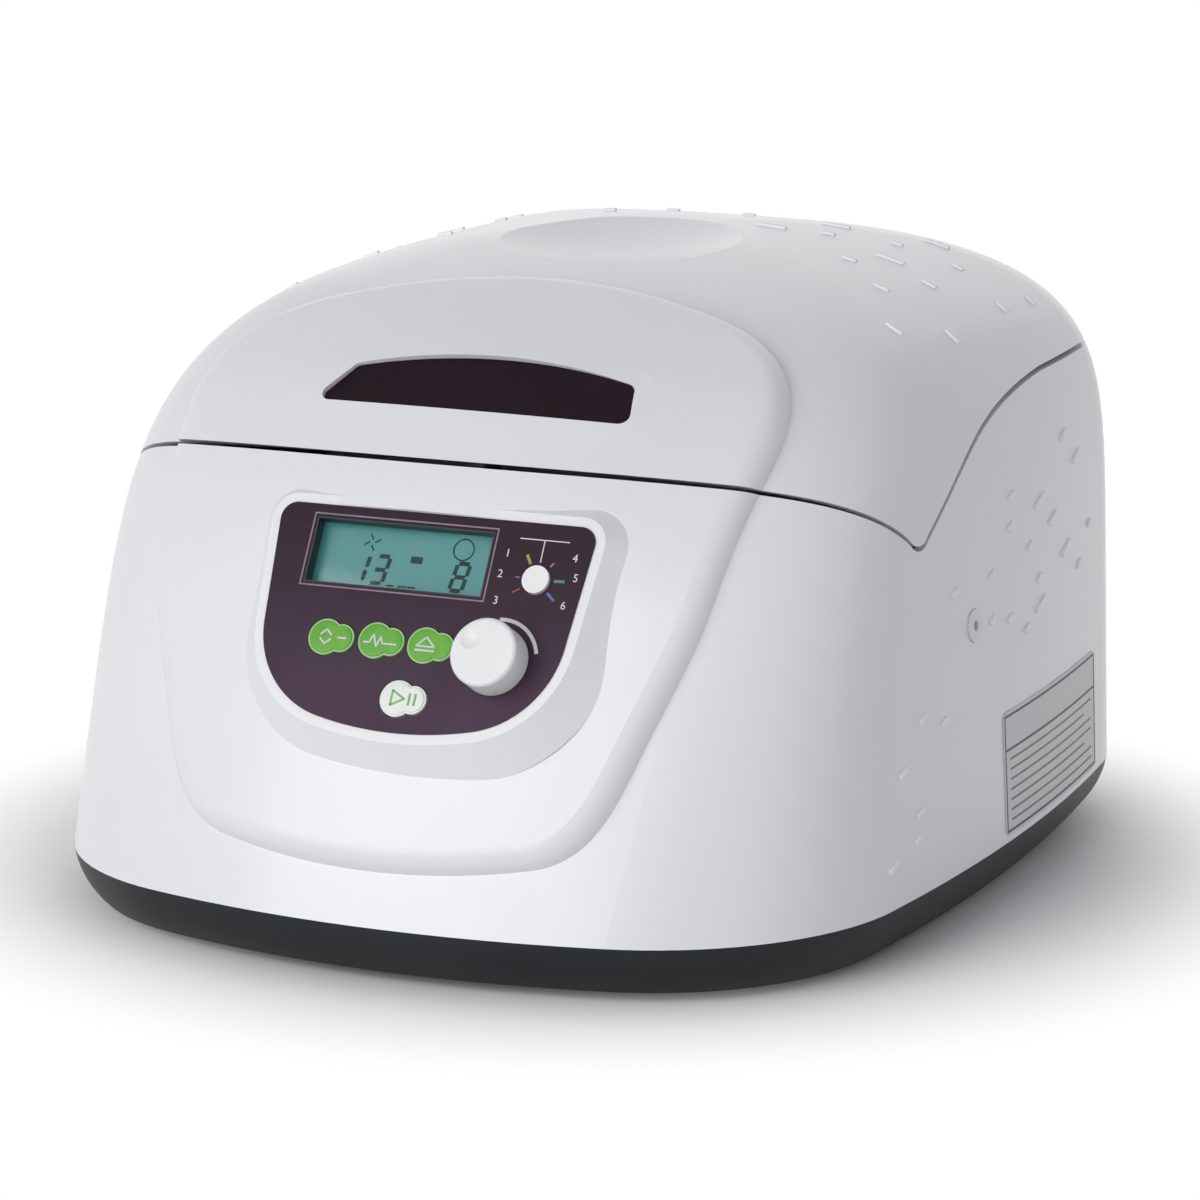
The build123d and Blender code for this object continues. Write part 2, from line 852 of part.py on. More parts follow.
# Chamber bowl, spun from sheet with a flange on the deck
with BuildPart() as chamber_bowl:
    with BuildSketch(Plane.XZ.offset(-bowl_y)):
        with BuildLine():
            FilletPolyline(
                (bowl_hole, bowl_floor - bowl_wall / 2),
                (bowl_radius + bowl_wall / 2, bowl_floor - bowl_wall / 2),
                (bowl_radius + bowl_wall / 2, deck_top),
                radius=bowl_corner,
            )
        trace(line_width=bowl_wall)
        with Locations(((bowl_radius + bowl_flange_radius) / 2, deck_top + bowl_flange / 2)):
            Rectangle(bowl_flange_radius - bowl_radius, bowl_flange)
    revolve(axis=Axis((0, bowl_y, 0), (0, 0, 1)))
save(chamber_bowl, "chamber_bowl")

# Rubber gasket on the bowl's flange
with BuildPart() as bowl_gasket:
    seat = deck_top + bowl_flange
    add(cylinder_between(gasket_outer, seat, seat + gasket_height, 0, bowl_y))
    add(cylinder_between(gasket_inner, seat, seat + gasket_height, 0, bowl_y), mode=Mode.SUBTRACT)
save(bowl_gasket, "bowl_gasket")

# Base tray: dark pan with its rim under the body shell
floor_z = foot_height + tray_floor
waist_z = (foot_height + tray_top) / 2

with BuildPart() as tray_pocket:
    for z, inset in ((floor_z, tray_inset), (waist_z + 2, tray_waist), (tray_top + 1, 0)):
        add(outline(z, -inset - tray_wall))
    loft()
    tray_bosses = [cylinder_between(boss_radius, 0, tray_top, x, y) for x, y in casing_screws()]
    add(tray_bosses, mode=Mode.SUBTRACT)

with BuildPart() as base_tray:
    for z, inset in ((foot_height, tray_inset), (waist_z, tray_waist), (tray_top, 0)):
        add(outline(z, -inset))
    loft()
    add(tray_pocket.part, mode=Mode.SUBTRACT)
    for x, y in casing_screws():
        add(cylinder_between(base_screw_radius + fit_gap, 0, tray_top, x, y), mode=Mode.SUBTRACT)
        head_top = foot_height + base_screw_head + fit_gap
        add(cylinder_between(base_screw_head_radius + fit_gap, 0, head_top, x, y), mode=Mode.SUBTRACT)
    for x, y in foot_points():
        add(cylinder_between(foot_stem_radius, 0, tray_top, x, y), mode=Mode.SUBTRACT)
    with BuildSketch(Plane.XY.offset(foot_height - 1)):
        with Locations((0, bowl_y)):
            with GridLocations(vent_pitch, vent_rows_apart, vent_count, 2):
                SlotOverall(vent_length, vent_width, rotation=90)
    extrude(amount=tray_floor + 2, mode=Mode.SUBTRACT)
save(base_tray, "base_tray")

# Four rubber feet with stems up through the tray
with BuildPart() as rubber_feet:
    for x, y in foot_points():
        add(cylinder_between(foot_radius, 0, foot_height, x, y))
    chamfer(rubber_feet.edges().filter_by(GeomType.CIRCLE).group_by(Axis.Z)[0], 0.8)
    for x, y in foot_points():
        add(cylinder_between(foot_stem_radius, foot_height, floor_z - fit_gap, x, y))
save(rubber_feet, "rubber_feet")

# Four screws up through the tray into the body shell
with BuildPart() as base_screw_group:
    for x, y in casing_screws():
        head_low = foot_height + fit_gap
        add(cylinder_between(base_screw_head_radius, head_low, head_low + base_screw_head, x, y))
        shank_low = head_low + base_screw_head
        add(cylinder_between(base_screw_radius, shank_low, shank_low + base_screw_length, x, y))
save(base_screw_group, "base_screws")


def sleeve_axis(i):
    """Place of one tube sleeve: origin at its mouth, with its axis up and inward along local Z."""
    turn = Rot(0, 0, 360 / sleeve_count * i)
    mouth = Pos(sleeve_top_radius, 0, sleeve_top_z) * Rot(0, -sleeve_tilt, 0)
    return Pos(0, bowl_y, 0) * turn * mouth


def sleeve_solid(r, from_mouth, to_mouth, i):
    """Cylinder about the axis of one sleeve, between two distances below its mouth."""
    middle = Pos(0, 0, -(from_mouth + to_mouth) / 2)
    return sleeve_axis(i) * middle * Cylinder(r, to_mouth - from_mouth, mode=Mode.PRIVATE)


# Rotor: hub, sloping upper plate and flat lower disc, bored for the sleeves
with BuildPart() as rotor:
    slope = tan(radians(sleeve_tilt))
    plate_r = sleeve_top_radius + rotor_plate_offset * sin(radians(sleeve_tilt))
    plate_z_mid = sleeve_top_z - rotor_plate_offset * cos(radians(sleeve_tilt))
    half_plate = rotor_plate_thickness / 2 / cos(radians(sleeve_tilt))
    inner_z = plate_z_mid - (plate_r - hub_radius + 1) * slope
    outer_z = plate_z_mid + (rotor_plate_radius - plate_r) * slope
    with BuildSketch(Plane.XZ.offset(-bowl_y)):
        with Locations((hub_radius / 2, (hub_bottom + hub_top) / 2)):
            Rectangle(hub_radius, hub_top - hub_bottom)
        with BuildLine():
            Polyline(
                (hub_radius - 1, inner_z - half_plate),
                (rotor_plate_radius, outer_z - half_plate),
                (rotor_plate_radius, outer_z + half_plate),
                (hub_radius - 1, inner_z + half_plate),
                close=True,
            )
        make_face()
        with Locations((disc_radius / 2, disc_z + disc_thickness / 2)):
            Rectangle(disc_radius, disc_thickness)
    revolve(axis=Axis((0, bowl_y, 0), (0, 0, 1)))
    shaft_bore = shaft_radius + shaft_fit
    add(cylinder_between(shaft_bore, hub_bottom - 1, hub_top + 1, 0, bowl_y), mode=Mode.SUBTRACT)
    for i in range(sleeve_count):
        add(sleeve_solid(sleeve_outer + 0.15, 0, sleeve_length + 20, i), mode=Mode.SUBTRACT)
save(rotor, "rotor")

# Eight tube sleeves with collars that rest on the upper plate
with BuildPart() as tube_sleeves:
    for i in range(sleeve_count):
        add(sleeve_solid(sleeve_outer, 0, sleeve_length, i))
        add(sleeve_solid(collar_radius, collar_offset, collar_offset + collar_thickness, i))
    for i in range(sleeve_count):
        add(sleeve_solid(sleeve_bore, -1, sleeve_length - sleeve_floor, i), mode=Mode.SUBTRACT)
save(tube_sleeves, "tube_sleeves")

# Drive shaft
with BuildPart() as drive_shaft:
    add(cylinder_between(shaft_radius, motor_bottom + motor_skin + fit_gap, shaft_top, 0, bowl_y))
    add(cylinder_between(shaft_radius + shaft_collar, motor_boss_top + 1, hub_bottom, 0, bowl_y))
save(drive_shaft, "drive_shaft")

# Nut that holds the rotor on the shaft
with BuildPart() as rotor_nut:
    add(cylinder_between(nut_radius, hub_top, nut_top, 0, bowl_y))
    fillet(rotor_nut.edges().filter_by(GeomType.CIRCLE).group_by(Axis.Z)[-1], 5)
    with BuildSketch(Plane.XY.offset(hub_top)):
        with Locations((0, bowl_y)):
            with PolarLocations(nut_radius + 1.5, 10):
                Circle(2.8)
    extrude(amount=nut_top - hub_top, mode=Mode.SUBTRACT)
    add(cylinder_between(shaft_bore, hub_top - 1, shaft_top + 0.5, 0, bowl_y), mode=Mode.SUBTRACT)
save(rotor_nut, "rotor_nut")

# Magnet drum on the shaft inside the motor
with BuildPart() as motor_armature:
    core_low = motor_bottom + motor_skin + bearing_width + stator_gap
    add(cylinder_between(armature_radius, core_low, core_low + stator_height, 0, bowl_y))
    add(cylinder_between(shaft_radius, 0, plate_z, 0, bowl_y), mode=Mode.SUBTRACT)
save(motor_armature, "motor_armature")

# Motor housing: hollow can with bearing seats
with BuildPart() as motor_can:
    add(cylinder_between(motor_radius, motor_bottom, plate_z, 0, bowl_y))
    add(cylinder_between(motor_boss_radius, plate_z, motor_boss_top, 0, bowl_y))
    cavity_low = motor_bottom + motor_skin + bearing_width
    add(
        cylinder_between(motor_radius - motor_skin, cavity_low, plate_z - motor_skin, 0, bowl_y),
        mode=Mode.SUBTRACT,
    )
    add(
        cylinder_between(bearing_radius, motor_bottom + motor_skin, cavity_low + 1, 0, bowl_y),
        mode=Mode.SUBTRACT,
    )
    add(
        cylinder_between(bearing_radius, motor_boss_top - bearing_width, motor_boss_top + 1, 0, bowl_y),
        mode=Mode.SUBTRACT,
    )
    add(cylinder_between(shaft_radius + 1, cavity_low, motor_boss_top + 1, 0, bowl_y), mode=Mode.SUBTRACT)
save(motor_can, "motor_can")


def ring_piece(outer, inner, z_low, z_high):
    """Ring about the rotor's axis."""
    disc = cylinder_between(outer, z_low, z_high, 0, bowl_y)
    return disc - cylinder_between(inner, z_low, z_high, 0, bowl_y)


# Stator in the can
with BuildPart() as motor_stator:
    add(ring_piece(motor_radius - motor_skin, stator_inner, core_low, core_low + stator_height))
save(motor_stator, "motor_stator")

# Two ball bearings
with BuildPart() as upper_bearing:
    add(ring_piece(bearing_radius, shaft_radius + 0.1, motor_boss_top - bearing_width, motor_boss_top))
save(upper_bearing, "upper_bearing")

with BuildPart() as lower_bearing:
    add(ring_piece(bearing_radius, shaft_radius + 0.1, motor_bottom + motor_skin, cavity_low))
save(lower_bearing, "lower_bearing")

# Plate that carries the motor
with BuildPart() as motor_plate:
    with BuildSketch(Plane.XY.offset(plate_z)):
        with Locations((0, bowl_y)):
            RectangleRounded(plate_size, plate_size, plate_corner)
            Circle(motor_boss_radius + fit_gap / 2, mode=Mode.SUBTRACT)
    extrude(amount=plate_thickness)
save(motor_plate, "motor_plate")

# Four rubber dampers between tray and motor plate
with BuildPart() as motor_dampers:
    for x in (-damper_offset, damper_offset):
        for y in (bowl_y - damper_offset, bowl_y + damper_offset):
            add(cylinder_between(damper_waist, floor_z, plate_z, x, y))
            add(cylinder_between(damper_radius, floor_z, floor_z + damper_flange, x, y))
            add(cylinder_between(damper_radius, plate_z - damper_flange, plate_z, x, y))
save(motor_dampers, "motor_dampers")

# Rubber boot round the shaft where it comes up through the bowl
with BuildPart() as shaft_boot:
    add(ring_piece(boot_radius, boot_inner, bowl_floor, bowl_floor + boot_thickness))
    add(ring_piece(bowl_hole - fit_gap, boot_inner, plate_z + plate_thickness, bowl_floor))
save(shaft_boot, "shaft_boot")

# Brackets on the back of the body shell, each with two ears
with BuildPart() as hinge_brackets:
    for cx in (-hinge_x, hinge_x):
        near = knuckle_half + ear_gap
        far = near + ear_thickness
        add(block((cx - far, cx + far), (hinge_y - 12, bracket_face_y), (bracket_bottom, bracket_top)))
        for low, high in ((cx - far, cx - near), (cx + near, cx + far)):
            add(block((low, high), (hinge_y - 4, hinge_y + knuckle_radius), (bracket_top - 8, hinge_z)))
            add(lying(knuckle_radius, low, high, hinge_y, hinge_z))
    add(outer_form, mode=Mode.SUBTRACT)
    for cx in (-hinge_x, hinge_x):
        add(lying(pin_radius, cx - far, cx + far, hinge_y, hinge_z), mode=Mode.SUBTRACT)
    for x, z in hinge_screws_at():
        add(across(hinge_screw_radius, hinge_y - 15, bracket_face_y, x, z), mode=Mode.SUBTRACT)
save(hinge_brackets, "hinge_brackets")

# Hinge pins
with BuildPart() as hinge_pins:
    for cx in (-hinge_x, hinge_x):
        add(lying(pin_radius, cx - far, cx + far, hinge_y, hinge_z))
        add(lying(pin_radius + 1.2, cx + far, cx + far + 1.5, hinge_y, hinge_z))
save(hinge_pins, "hinge_pins")

# Arms on the back of the lid, each with one knuckle
with BuildPart() as hinge_arms:
    for cx in (-hinge_x, hinge_x):
        side = (cx - knuckle_half, cx + knuckle_half)
        add(block(side, (hinge_y - 40, hinge_y), (strap_bottom, strap_top)))
    add(dome(strap_thickness), mode=Mode.INTERSECT)
    for cx in (-hinge_x, hinge_x):
        side = (cx - knuckle_half, cx + knuckle_half)
        add(block(side, (hinge_y - 20, hinge_y), (strap_bottom, hinge_z + knuckle_radius)))
        add(lying(knuckle_radius, *side, hinge_y, hinge_z))
    add(outer_form, mode=Mode.SUBTRACT)
    for cx in (-hinge_x, hinge_x):
        add(lying(pin_radius + 0.2, cx - far, cx + far, hinge_y, hinge_z), mode=Mode.SUBTRACT)
save(hinge_arms, "hinge_arms")

# Screws through the brackets into the back wall
with BuildPart() as hinge_screws:
    for x, z in hinge_screws_at():
        add(across(hinge_screw_radius, bracket_face_y - hinge_screw_length, bracket_face_y, x, z))
        add(across(hinge_screw_head_radius, bracket_face_y, bracket_face_y + hinge_screw_head, x, z))
save(hinge_screws, "hinge_screws")

# Housing under the deck that guides hook and bolt
with BuildPart() as lock_housing:
    deck_low = deck_top - deck_thickness
    add(block((-14, 14), (hook_front - lock_slot_front - 3, hook_rear + 5), (hook_bottom - 6, deck_low)))
    add(
        block(
            (-half_slot, half_slot),
            (hook_front - lock_slot_front + 1, hook_rear + 1),
            (hook_bottom - 2, deck_low + 1),
        ),
        mode=Mode.SUBTRACT,
    )
    bolt_way = bolt_size / 2 + fit_gap
    add(
        block((-10.5, 15), (hook_y - bolt_way, hook_y + bolt_way), (bolt_z - bolt_way, bolt_z + bolt_way)),
        mode=Mode.SUBTRACT,
    )
save(lock_housing, "lock_housing")

# Lock bolt with its plunger
with BuildPart() as lock_bolt:
    half_bolt = bolt_size / 2
    add(
        block(
            (bolt_head_start, bolt_head_end),
            (hook_y - half_bolt, hook_y + half_bolt),
            (bolt_z - half_bolt, bolt_z + half_bolt),
        )
    )
    add(lying(plunger_radius, bolt_head_end, plunger_end, hook_y, bolt_z))
save(lock_bolt, "lock_bolt")

# Solenoid that draws the bolt
with BuildPart() as lock_solenoid:
    solenoid_start = bolt_head_end + bolt_travel
    add(block((solenoid_start, solenoid_start + 30), (hook_y - 10, hook_y + 10), (bolt_z - 10, deck_low)))
    add(
        lying(plunger_radius + fit_gap, solenoid_start - 1, plunger_end + 2, hook_y, bolt_z),
        mode=Mode.SUBTRACT,
    )
save(lock_solenoid, "lock_solenoid")

# Control overlay: dark film with windows and key holes
with BuildPart() as control_overlay:
    extrude(overlay_face(), amount=overlay_thickness)
    add([display_opening(0)] + panel_holes(-1), mode=Mode.SUBTRACT)
save(control_overlay, "control_overlay")

# Clear lens behind the display window
lens_face = -panel_wall
lens_back = lens_face - lens_thickness
with BuildPart() as display_lens:
    half_u = display_width / 2 + lens_margin
    half_v = display_height / 2 + lens_margin
    add(
        panel_block(
            (display_u - half_u, display_u + half_u),
            (display_v - half_v, display_v + half_v),
            (lens_back, lens_face),
        )
    )
save(display_lens, "display_lens")

# Display module between lens and board
with BuildPart() as display_module:
    add(
        panel_block(
            (display_u - half_u, display_u + half_u),
            (display_v - half_v, display_v + half_v),
            (-board_depth, lens_back - 0.2),
        )
    )
save(display_module, "display_module")

# Control board
with BuildPart() as control_board:
    extrude(overlay_face(-board_depth, -board_margin), amount=-board_thickness)
save(control_board, "control_board")

# Standoffs between the casing and the control board
with BuildPart() as board_standoffs:
    for u, v in standoff_points:
        add(panel_cylinder(u, v, board_standoff_radius, -board_depth, -panel_wall))
save(board_standoffs, "board_standoffs")

# Five tact switches on the board, one behind each key
with BuildPart() as tact_switches:
    for u, v in (*lobed_keys.values(), (dial_key_u, dial_key_v)):
        add(panel_block((u - 3, u + 3), (v - 3, v + 3), (-board_depth, -board_depth + switch_height)))
save(tact_switches, "tact_switches")

# Four lobed keys, each with a retaining flange and a stem over its switch
stem_end = -board_depth + switch_height + key_travel + 0.2
flange_top = -panel_wall - key_gap
flange_low = flange_top - key_flange_thickness
for label, uv in lobed_keys.items():
    with BuildPart() as lobed_key:
        add(lobed_prism(uv, key_rise, flange_low))
        add(lobed_prism(uv, flange_top, flange_low, key_flange))
        add(panel_cylinder(*uv, key_stem_radius, stem_end, flange_low))
    save(lobed_key, label)

# Round key at the centre of the programme dial
with BuildPart() as programme_key:
    add(panel_cylinder(dial_key_u, dial_key_v, dial_key_radius, flange_low, key_rise + 0.4))
    add(panel_cylinder(dial_key_u, dial_key_v, dial_key_radius + key_flange, flange_low, flange_top))
    add(panel_cylinder(dial_key_u, dial_key_v, key_stem_radius, stem_end, flange_low))
save(programme_key, "programme_key")

# Rotary encoder behind the knob
with BuildPart() as encoder:
    add(panel_block((knob_u - 6, knob_u + 6), (knob_v - 6, knob_v + 6), (-board_depth, -board_depth + 6)))
    add(panel_cylinder(knob_u, knob_v, bushing_radius, -board_depth, -0.5))
    add(panel_cylinder(knob_u, knob_v, knob_stem_radius + 0.15, -board_depth + 4, 1), mode=Mode.SUBTRACT)
save(encoder, "encoder")

# Setting knob with a finger dimple
with BuildPart() as setting_knob:
    knob_top = knob_lift + knob_height
    add(panel_cylinder(knob_u, knob_v, knob_radius, knob_lift, knob_top))
    face_edges = setting_knob.edges().filter_by(GeomType.CIRCLE)
    face_edges = face_edges.sort_by(lambda e: panel_plane.to_local_coords(e.arc_center).Z)
    fillet(face_edges[-1], 1.2)
    dimple_centre = Pos(knob_u - 4.6, knob_v + 3.4, knob_top + dimple_radius - dimple_depth)
    dimple = panel_plane.location * dimple_centre * Sphere(dimple_radius, mode=Mode.PRIVATE)
    add(dimple, mode=Mode.SUBTRACT)
    add(panel_cylinder(knob_u, knob_v, knob_stem_radius, -board_depth + 4.3, knob_lift + 1))
save(setting_knob, "setting_knob")

# Rear panel: lower back cover, flush with the casing
with BuildPart() as rear_panel:
    add(slab(0, rear_panel_bottom - lip_width, rear_panel_top + lip_width))
    add(rear_opening(fit_gap), mode=Mode.INTERSECT)
    for x, half in ((inlet_x, land_half_width), (switch_x, switch_land_half)):
        add(block((x - half, x + half), (rear_land_y - 10, rear_land_y), (inlet_z - 27, inlet_z + 27)))
    panel_low = rear_panel_bottom - 2 * lip_width
    inside = slab(-wall + lip_bite + fit_gap, panel_low, rear_panel_top + 2 * lip_width)
    add(inside, mode=Mode.SUBTRACT)
    add(
        block(
            (inlet_x - inlet_half_width + 1.5, inlet_x + inlet_half_width - 1.5),
            (crown_y, body_depth),
            (inlet_z - inlet_half_height + 2, inlet_z + inlet_half_height - 2),
        ),
        mode=Mode.SUBTRACT,
    )
    add(
        block(
            (switch_x - switch_half_width + 1.5, switch_x + switch_half_width - 1.5),
            (crown_y, body_depth),
            (switch_z - switch_half_height + 2, switch_z + switch_half_height - 2),
        ),
        mode=Mode.SUBTRACT,
    )
    for x, half, tall in (
        (inlet_x, inlet_half_width, inlet_half_height),
        (switch_x, switch_half_width, switch_half_height),
    ):
        reach = (x - half - fit_gap, x + half + fit_gap)
        add(
            block(reach, (rear_land_y, body_depth), (inlet_z - tall - fit_gap, inlet_z + tall + fit_gap)),
            mode=Mode.SUBTRACT,
        )
    with BuildSketch(Plane.XZ):
        with Locations((rear_vent_x, inlet_z)):
            with GridLocations(rear_vent_pitch, 1, rear_vent_count, 1):
                SlotOverall(rear_vent_length, vent_width, rotation=90)
    extrude(amount=-body_depth, mode=Mode.SUBTRACT)
save(rear_panel, "rear_panel")

# Mains inlet: flanged block with a socket below and a fuse drawer's way above
with BuildPart() as mains_inlet:
    flange_back = rear_land_y
    flange_face = rear_land_y + flange_thickness
    add(
        block(
            (inlet_x - inlet_half_width, inlet_x + inlet_half_width),
            (flange_back, flange_face),
            (inlet_z - inlet_half_height, inlet_z + inlet_half_height),
        )
    )
    add(
        block(
            (inlet_x - inlet_half_width + 2, inlet_x + inlet_half_width - 2),
            (flange_back - inlet_depth, flange_back),
            (inlet_z - inlet_half_height + 2.5, inlet_z + inlet_half_height - 2.5),
        )
    )
    add(
        block(
            (inlet_x - socket_half_width, inlet_x + socket_half_width),
            (flange_face - socket_depth, flange_face + 1),
            (socket_z - socket_half_height, socket_z + socket_half_height),
        ),
        mode=Mode.SUBTRACT,
    )
    add(
        block(
            (inlet_x - drawer_half_width - fit_gap, inlet_x + drawer_half_width + fit_gap),
            (flange_face - drawer_depth - fit_gap, flange_face + 1),
            (drawer_z - drawer_half_height - fit_gap, drawer_z + drawer_half_height + fit_gap),
        ),
        mode=Mode.SUBTRACT,
    )
save(mains_inlet, "mains_inlet")

# Three contact pins in the socket
with BuildPart() as inlet_pins:
    for dx, dz in ((-7, -2), (7, -2), (0, 2)):
        add(
            block(
                (inlet_x + dx - 1, inlet_x + dx + 1),
                (flange_face - socket_depth, flange_face - 4),
                (socket_z + dz - 2, socket_z + dz + 2),
            )
        )
save(inlet_pins, "inlet_pins")

# Fuse drawer
with BuildPart() as fuse_drawer:
    add(
        block(
            (inlet_x - drawer_half_width, inlet_x + drawer_half_width),
            (flange_face - drawer_depth, flange_face),
            (drawer_z - drawer_half_height, drawer_z + drawer_half_height),
        )
    )
    add(
        block(
            (inlet_x - drawer_half_width + 2, inlet_x + drawer_half_width - 2),
            (flange_face - drawer_depth + 2, flange_face - 5),
            (drawer_z - drawer_half_height + 1.5, drawer_z + drawer_half_height + 1),
        ),
        mode=Mode.SUBTRACT,
    )
save(fuse_drawer, "fuse_drawer")

# Power switch housing
with BuildPart() as power_switch:
    add(
        block(
            (switch_x - switch_half_width, switch_x + switch_half_width),
            (flange_back, flange_face),
            (switch_z - switch_half_height, switch_z + switch_half_height),
        )
    )
    add(
        block(
            (switch_x - switch_half_width + 2, switch_x + switch_half_width - 2),
            (flange_back - switch_depth, flange_back),
            (switch_z - switch_half_height + 2.5, switch_z + switch_half_height - 2.5),
        )
    )
    add(
        block(
            (switch_x - rocker_half_width - fit_gap, switch_x + rocker_half_width + fit_gap),
            (flange_face - rocker_depth, flange_face + 1),
            (switch_z - rocker_half_height - 1.3, switch_z + rocker_half_height + 1.3),
        ),
        mode=Mode.SUBTRACT,
    )
save(power_switch, "power_switch")

# Rocker, resting with its upper end out
rocker_plane = Plane(
    origin=(switch_x - rocker_half_width, rocker_axis_y, switch_z),
    x_dir=(0, cos(radians(rocker_tilt)), -sin(radians(rocker_tilt))),
    z_dir=(1, 0, 0),
)
with BuildPart() as power_rocker:
    with BuildSketch(rocker_plane):
        with BuildLine():
            Polyline(
                (-rocker_back, -4),
                (-rocker_back, 4),
                (rocker_front - 1, rocker_half_height),
                (rocker_front, rocker_half_height),
                (rocker_front - 1.6, 0),
                (rocker_front, -rocker_half_height),
                (rocker_front - 1, -rocker_half_height),
                close=True,
            )
        make_face()
    extrude(amount=2 * rocker_half_width)
save(power_rocker, "power_rocker")

# Release plug in the right flank
with BuildPart() as side_plug:
    add(slab(plug_rise, plug_z - 3 * plug_radius, plug_z + 3 * plug_radius))
    add(plug_bore(plug_radius), mode=Mode.INTERSECT)
    add(slab(-wall, plug_z - 4 * plug_radius, plug_z + 4 * plug_radius), mode=Mode.SUBTRACT)
    add(plug_bore(plug_hole), mode=Mode.SUBTRACT)
save(side_plug, "side_plug")

# Bare rating plate on the right flank
with BuildPart() as label_window:
    with BuildSketch(Plane.YZ.offset(body_width / 4)):
        with Locations(((label_front_y + label_rear_y) / 2, (label_bottom + label_top) / 2)):
            RectangleRounded(label_rear_y - label_front_y, label_top - label_bottom, label_round)
    extrude(amount=body_width)

with BuildPart() as side_label:
    add(slab(label_thickness, tray_top, label_top + 5))
    add(label_window.part, mode=Mode.INTERSECT)
    add(outer_form, mode=Mode.SUBTRACT)
save(side_label, "side_label")

# Power supply block on the tray floor
with BuildPart() as power_supply:
    half_length, half_depth = supply_box[0] / 2, supply_box[1] / 2
    add(
        block(
            (supply_x - half_length, supply_x + half_length),
            (electronics_y - half_depth, electronics_y + half_depth),
            (floor_z, floor_z + supply_box[2]),
        )
    )
save(power_supply, "power_supply")

# Motor driver board on standoffs, with its heat sink
driver_low = floor_z + standoff_height
with BuildPart() as driver_standoffs:
    for dx in (-driver_size[0] / 2 + 5, driver_size[0] / 2 - 5):
        for dy in (-driver_size[1] / 2 + 5, driver_size[1] / 2 - 5):
            add(cylinder_between(standoff_radius, floor_z, driver_low, driver_x + dx, electronics_y + dy))
save(driver_standoffs, "driver_standoffs")

with BuildPart() as driver_board:
    with BuildSketch(Plane.XY.offset(driver_low)):
        with Locations((driver_x, electronics_y)):
            Rectangle(*driver_size)
    extrude(amount=board_thickness)
save(driver_board, "driver_board")

with BuildPart() as driver_heatsink:
    sink_low = driver_low + board_thickness
    with BuildSketch(Plane.XY.offset(sink_low)):
        with Locations((driver_x, electronics_y)):
            Rectangle(sink_width, sink_depth)
    extrude(amount=3)
    with BuildSketch(Plane.XY.offset(sink_low + 3)):
        with Locations((driver_x, electronics_y)):
            with GridLocations(sink_width / (sink_fins - 1) - 0.25, 1, sink_fins, 1):
                Rectangle(1.6, sink_depth)
    extrude(amount=sink_height - 3)
save(driver_heatsink, "driver_heatsink")
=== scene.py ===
import json
from math import atan2, cos, pi, radians, sin

import bpy
from mathutils import Matrix, Vector
from mathutils.bvhtree import BVHTree


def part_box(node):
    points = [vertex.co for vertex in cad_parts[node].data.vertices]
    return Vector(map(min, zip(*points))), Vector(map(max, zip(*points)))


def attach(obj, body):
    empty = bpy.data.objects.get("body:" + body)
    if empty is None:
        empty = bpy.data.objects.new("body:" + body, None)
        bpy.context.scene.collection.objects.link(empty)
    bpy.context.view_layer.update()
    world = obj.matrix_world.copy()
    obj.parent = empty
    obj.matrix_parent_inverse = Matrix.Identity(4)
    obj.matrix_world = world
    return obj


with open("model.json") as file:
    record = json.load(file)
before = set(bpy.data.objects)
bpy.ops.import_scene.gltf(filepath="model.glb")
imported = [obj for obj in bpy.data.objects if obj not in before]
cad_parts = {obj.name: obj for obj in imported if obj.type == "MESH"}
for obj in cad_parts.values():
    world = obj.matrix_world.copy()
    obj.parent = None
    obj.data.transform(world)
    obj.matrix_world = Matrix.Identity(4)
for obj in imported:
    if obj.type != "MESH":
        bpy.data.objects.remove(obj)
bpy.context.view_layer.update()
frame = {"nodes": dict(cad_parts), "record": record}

MM = 0.001

# Places taken from the frame, in metres
ROTOR_AXIS = Vector((0.0, 0.038, 0.0))
PANEL_LEAN = radians(29.2)
PANEL_ORIGIN = Vector((0.007, -0.144, 0.102))
OVERLAY_FACE = 0.5
PANEL_DEPTH_OF_DISPLAY = -4.7
LENS_FACE = -3.5
DISPLAY_CENTRE = (-9.7, 20.2)
DISPLAY_SIZE = (57.4, 19.9)
KNOB_CENTRE = (28.0, -8.0)
DIAL_CENTRE = (35.1, 17.0)
KEY_CENTRES = {
    "select_key": (-24.6, -6.0),
    "pulse_key": (-8.5, -5.6),
    "open_key": (7.3, -5.6),
    "start_key": (2.5, -22.0),
}
KEY_TOP = 1.2


def facing(origin, lean):
    """Frame of a plane that leans back: X across, Y up the plane, Z out of it."""
    across = Vector((1, 0, 0))
    out = Vector((0, -cos(lean), sin(lean)))
    up = out.cross(across)
    turn = Matrix((across, up, out)).transposed().to_4x4()
    return Matrix.Translation(origin) @ turn


PANEL = facing(PANEL_ORIGIN, PANEL_LEAN)


# Camera and studio

def aim_camera():
    """Camera at the photograph's viewing angle."""
    azimuth = radians(24.901)
    elevation = radians(12.088)
    distance = 1.380
    target = Vector((0.023372, -0.053, 0.093544))
    back = Vector((sin(azimuth) * cos(elevation), -cos(azimuth) * cos(elevation), sin(elevation)))
    data = bpy.data.cameras.new("camera")
    data.lens = 136.64
    data.sensor_width = 36.0
    camera = bpy.data.objects.new("camera", data)
    bpy.context.scene.collection.objects.link(camera)
    camera.location = target + back * distance
    camera.rotation_mode = "QUATERNION"
    camera.rotation_quaternion = (-back).to_track_quat("-Z", "Y")
    bpy.context.scene.camera = camera


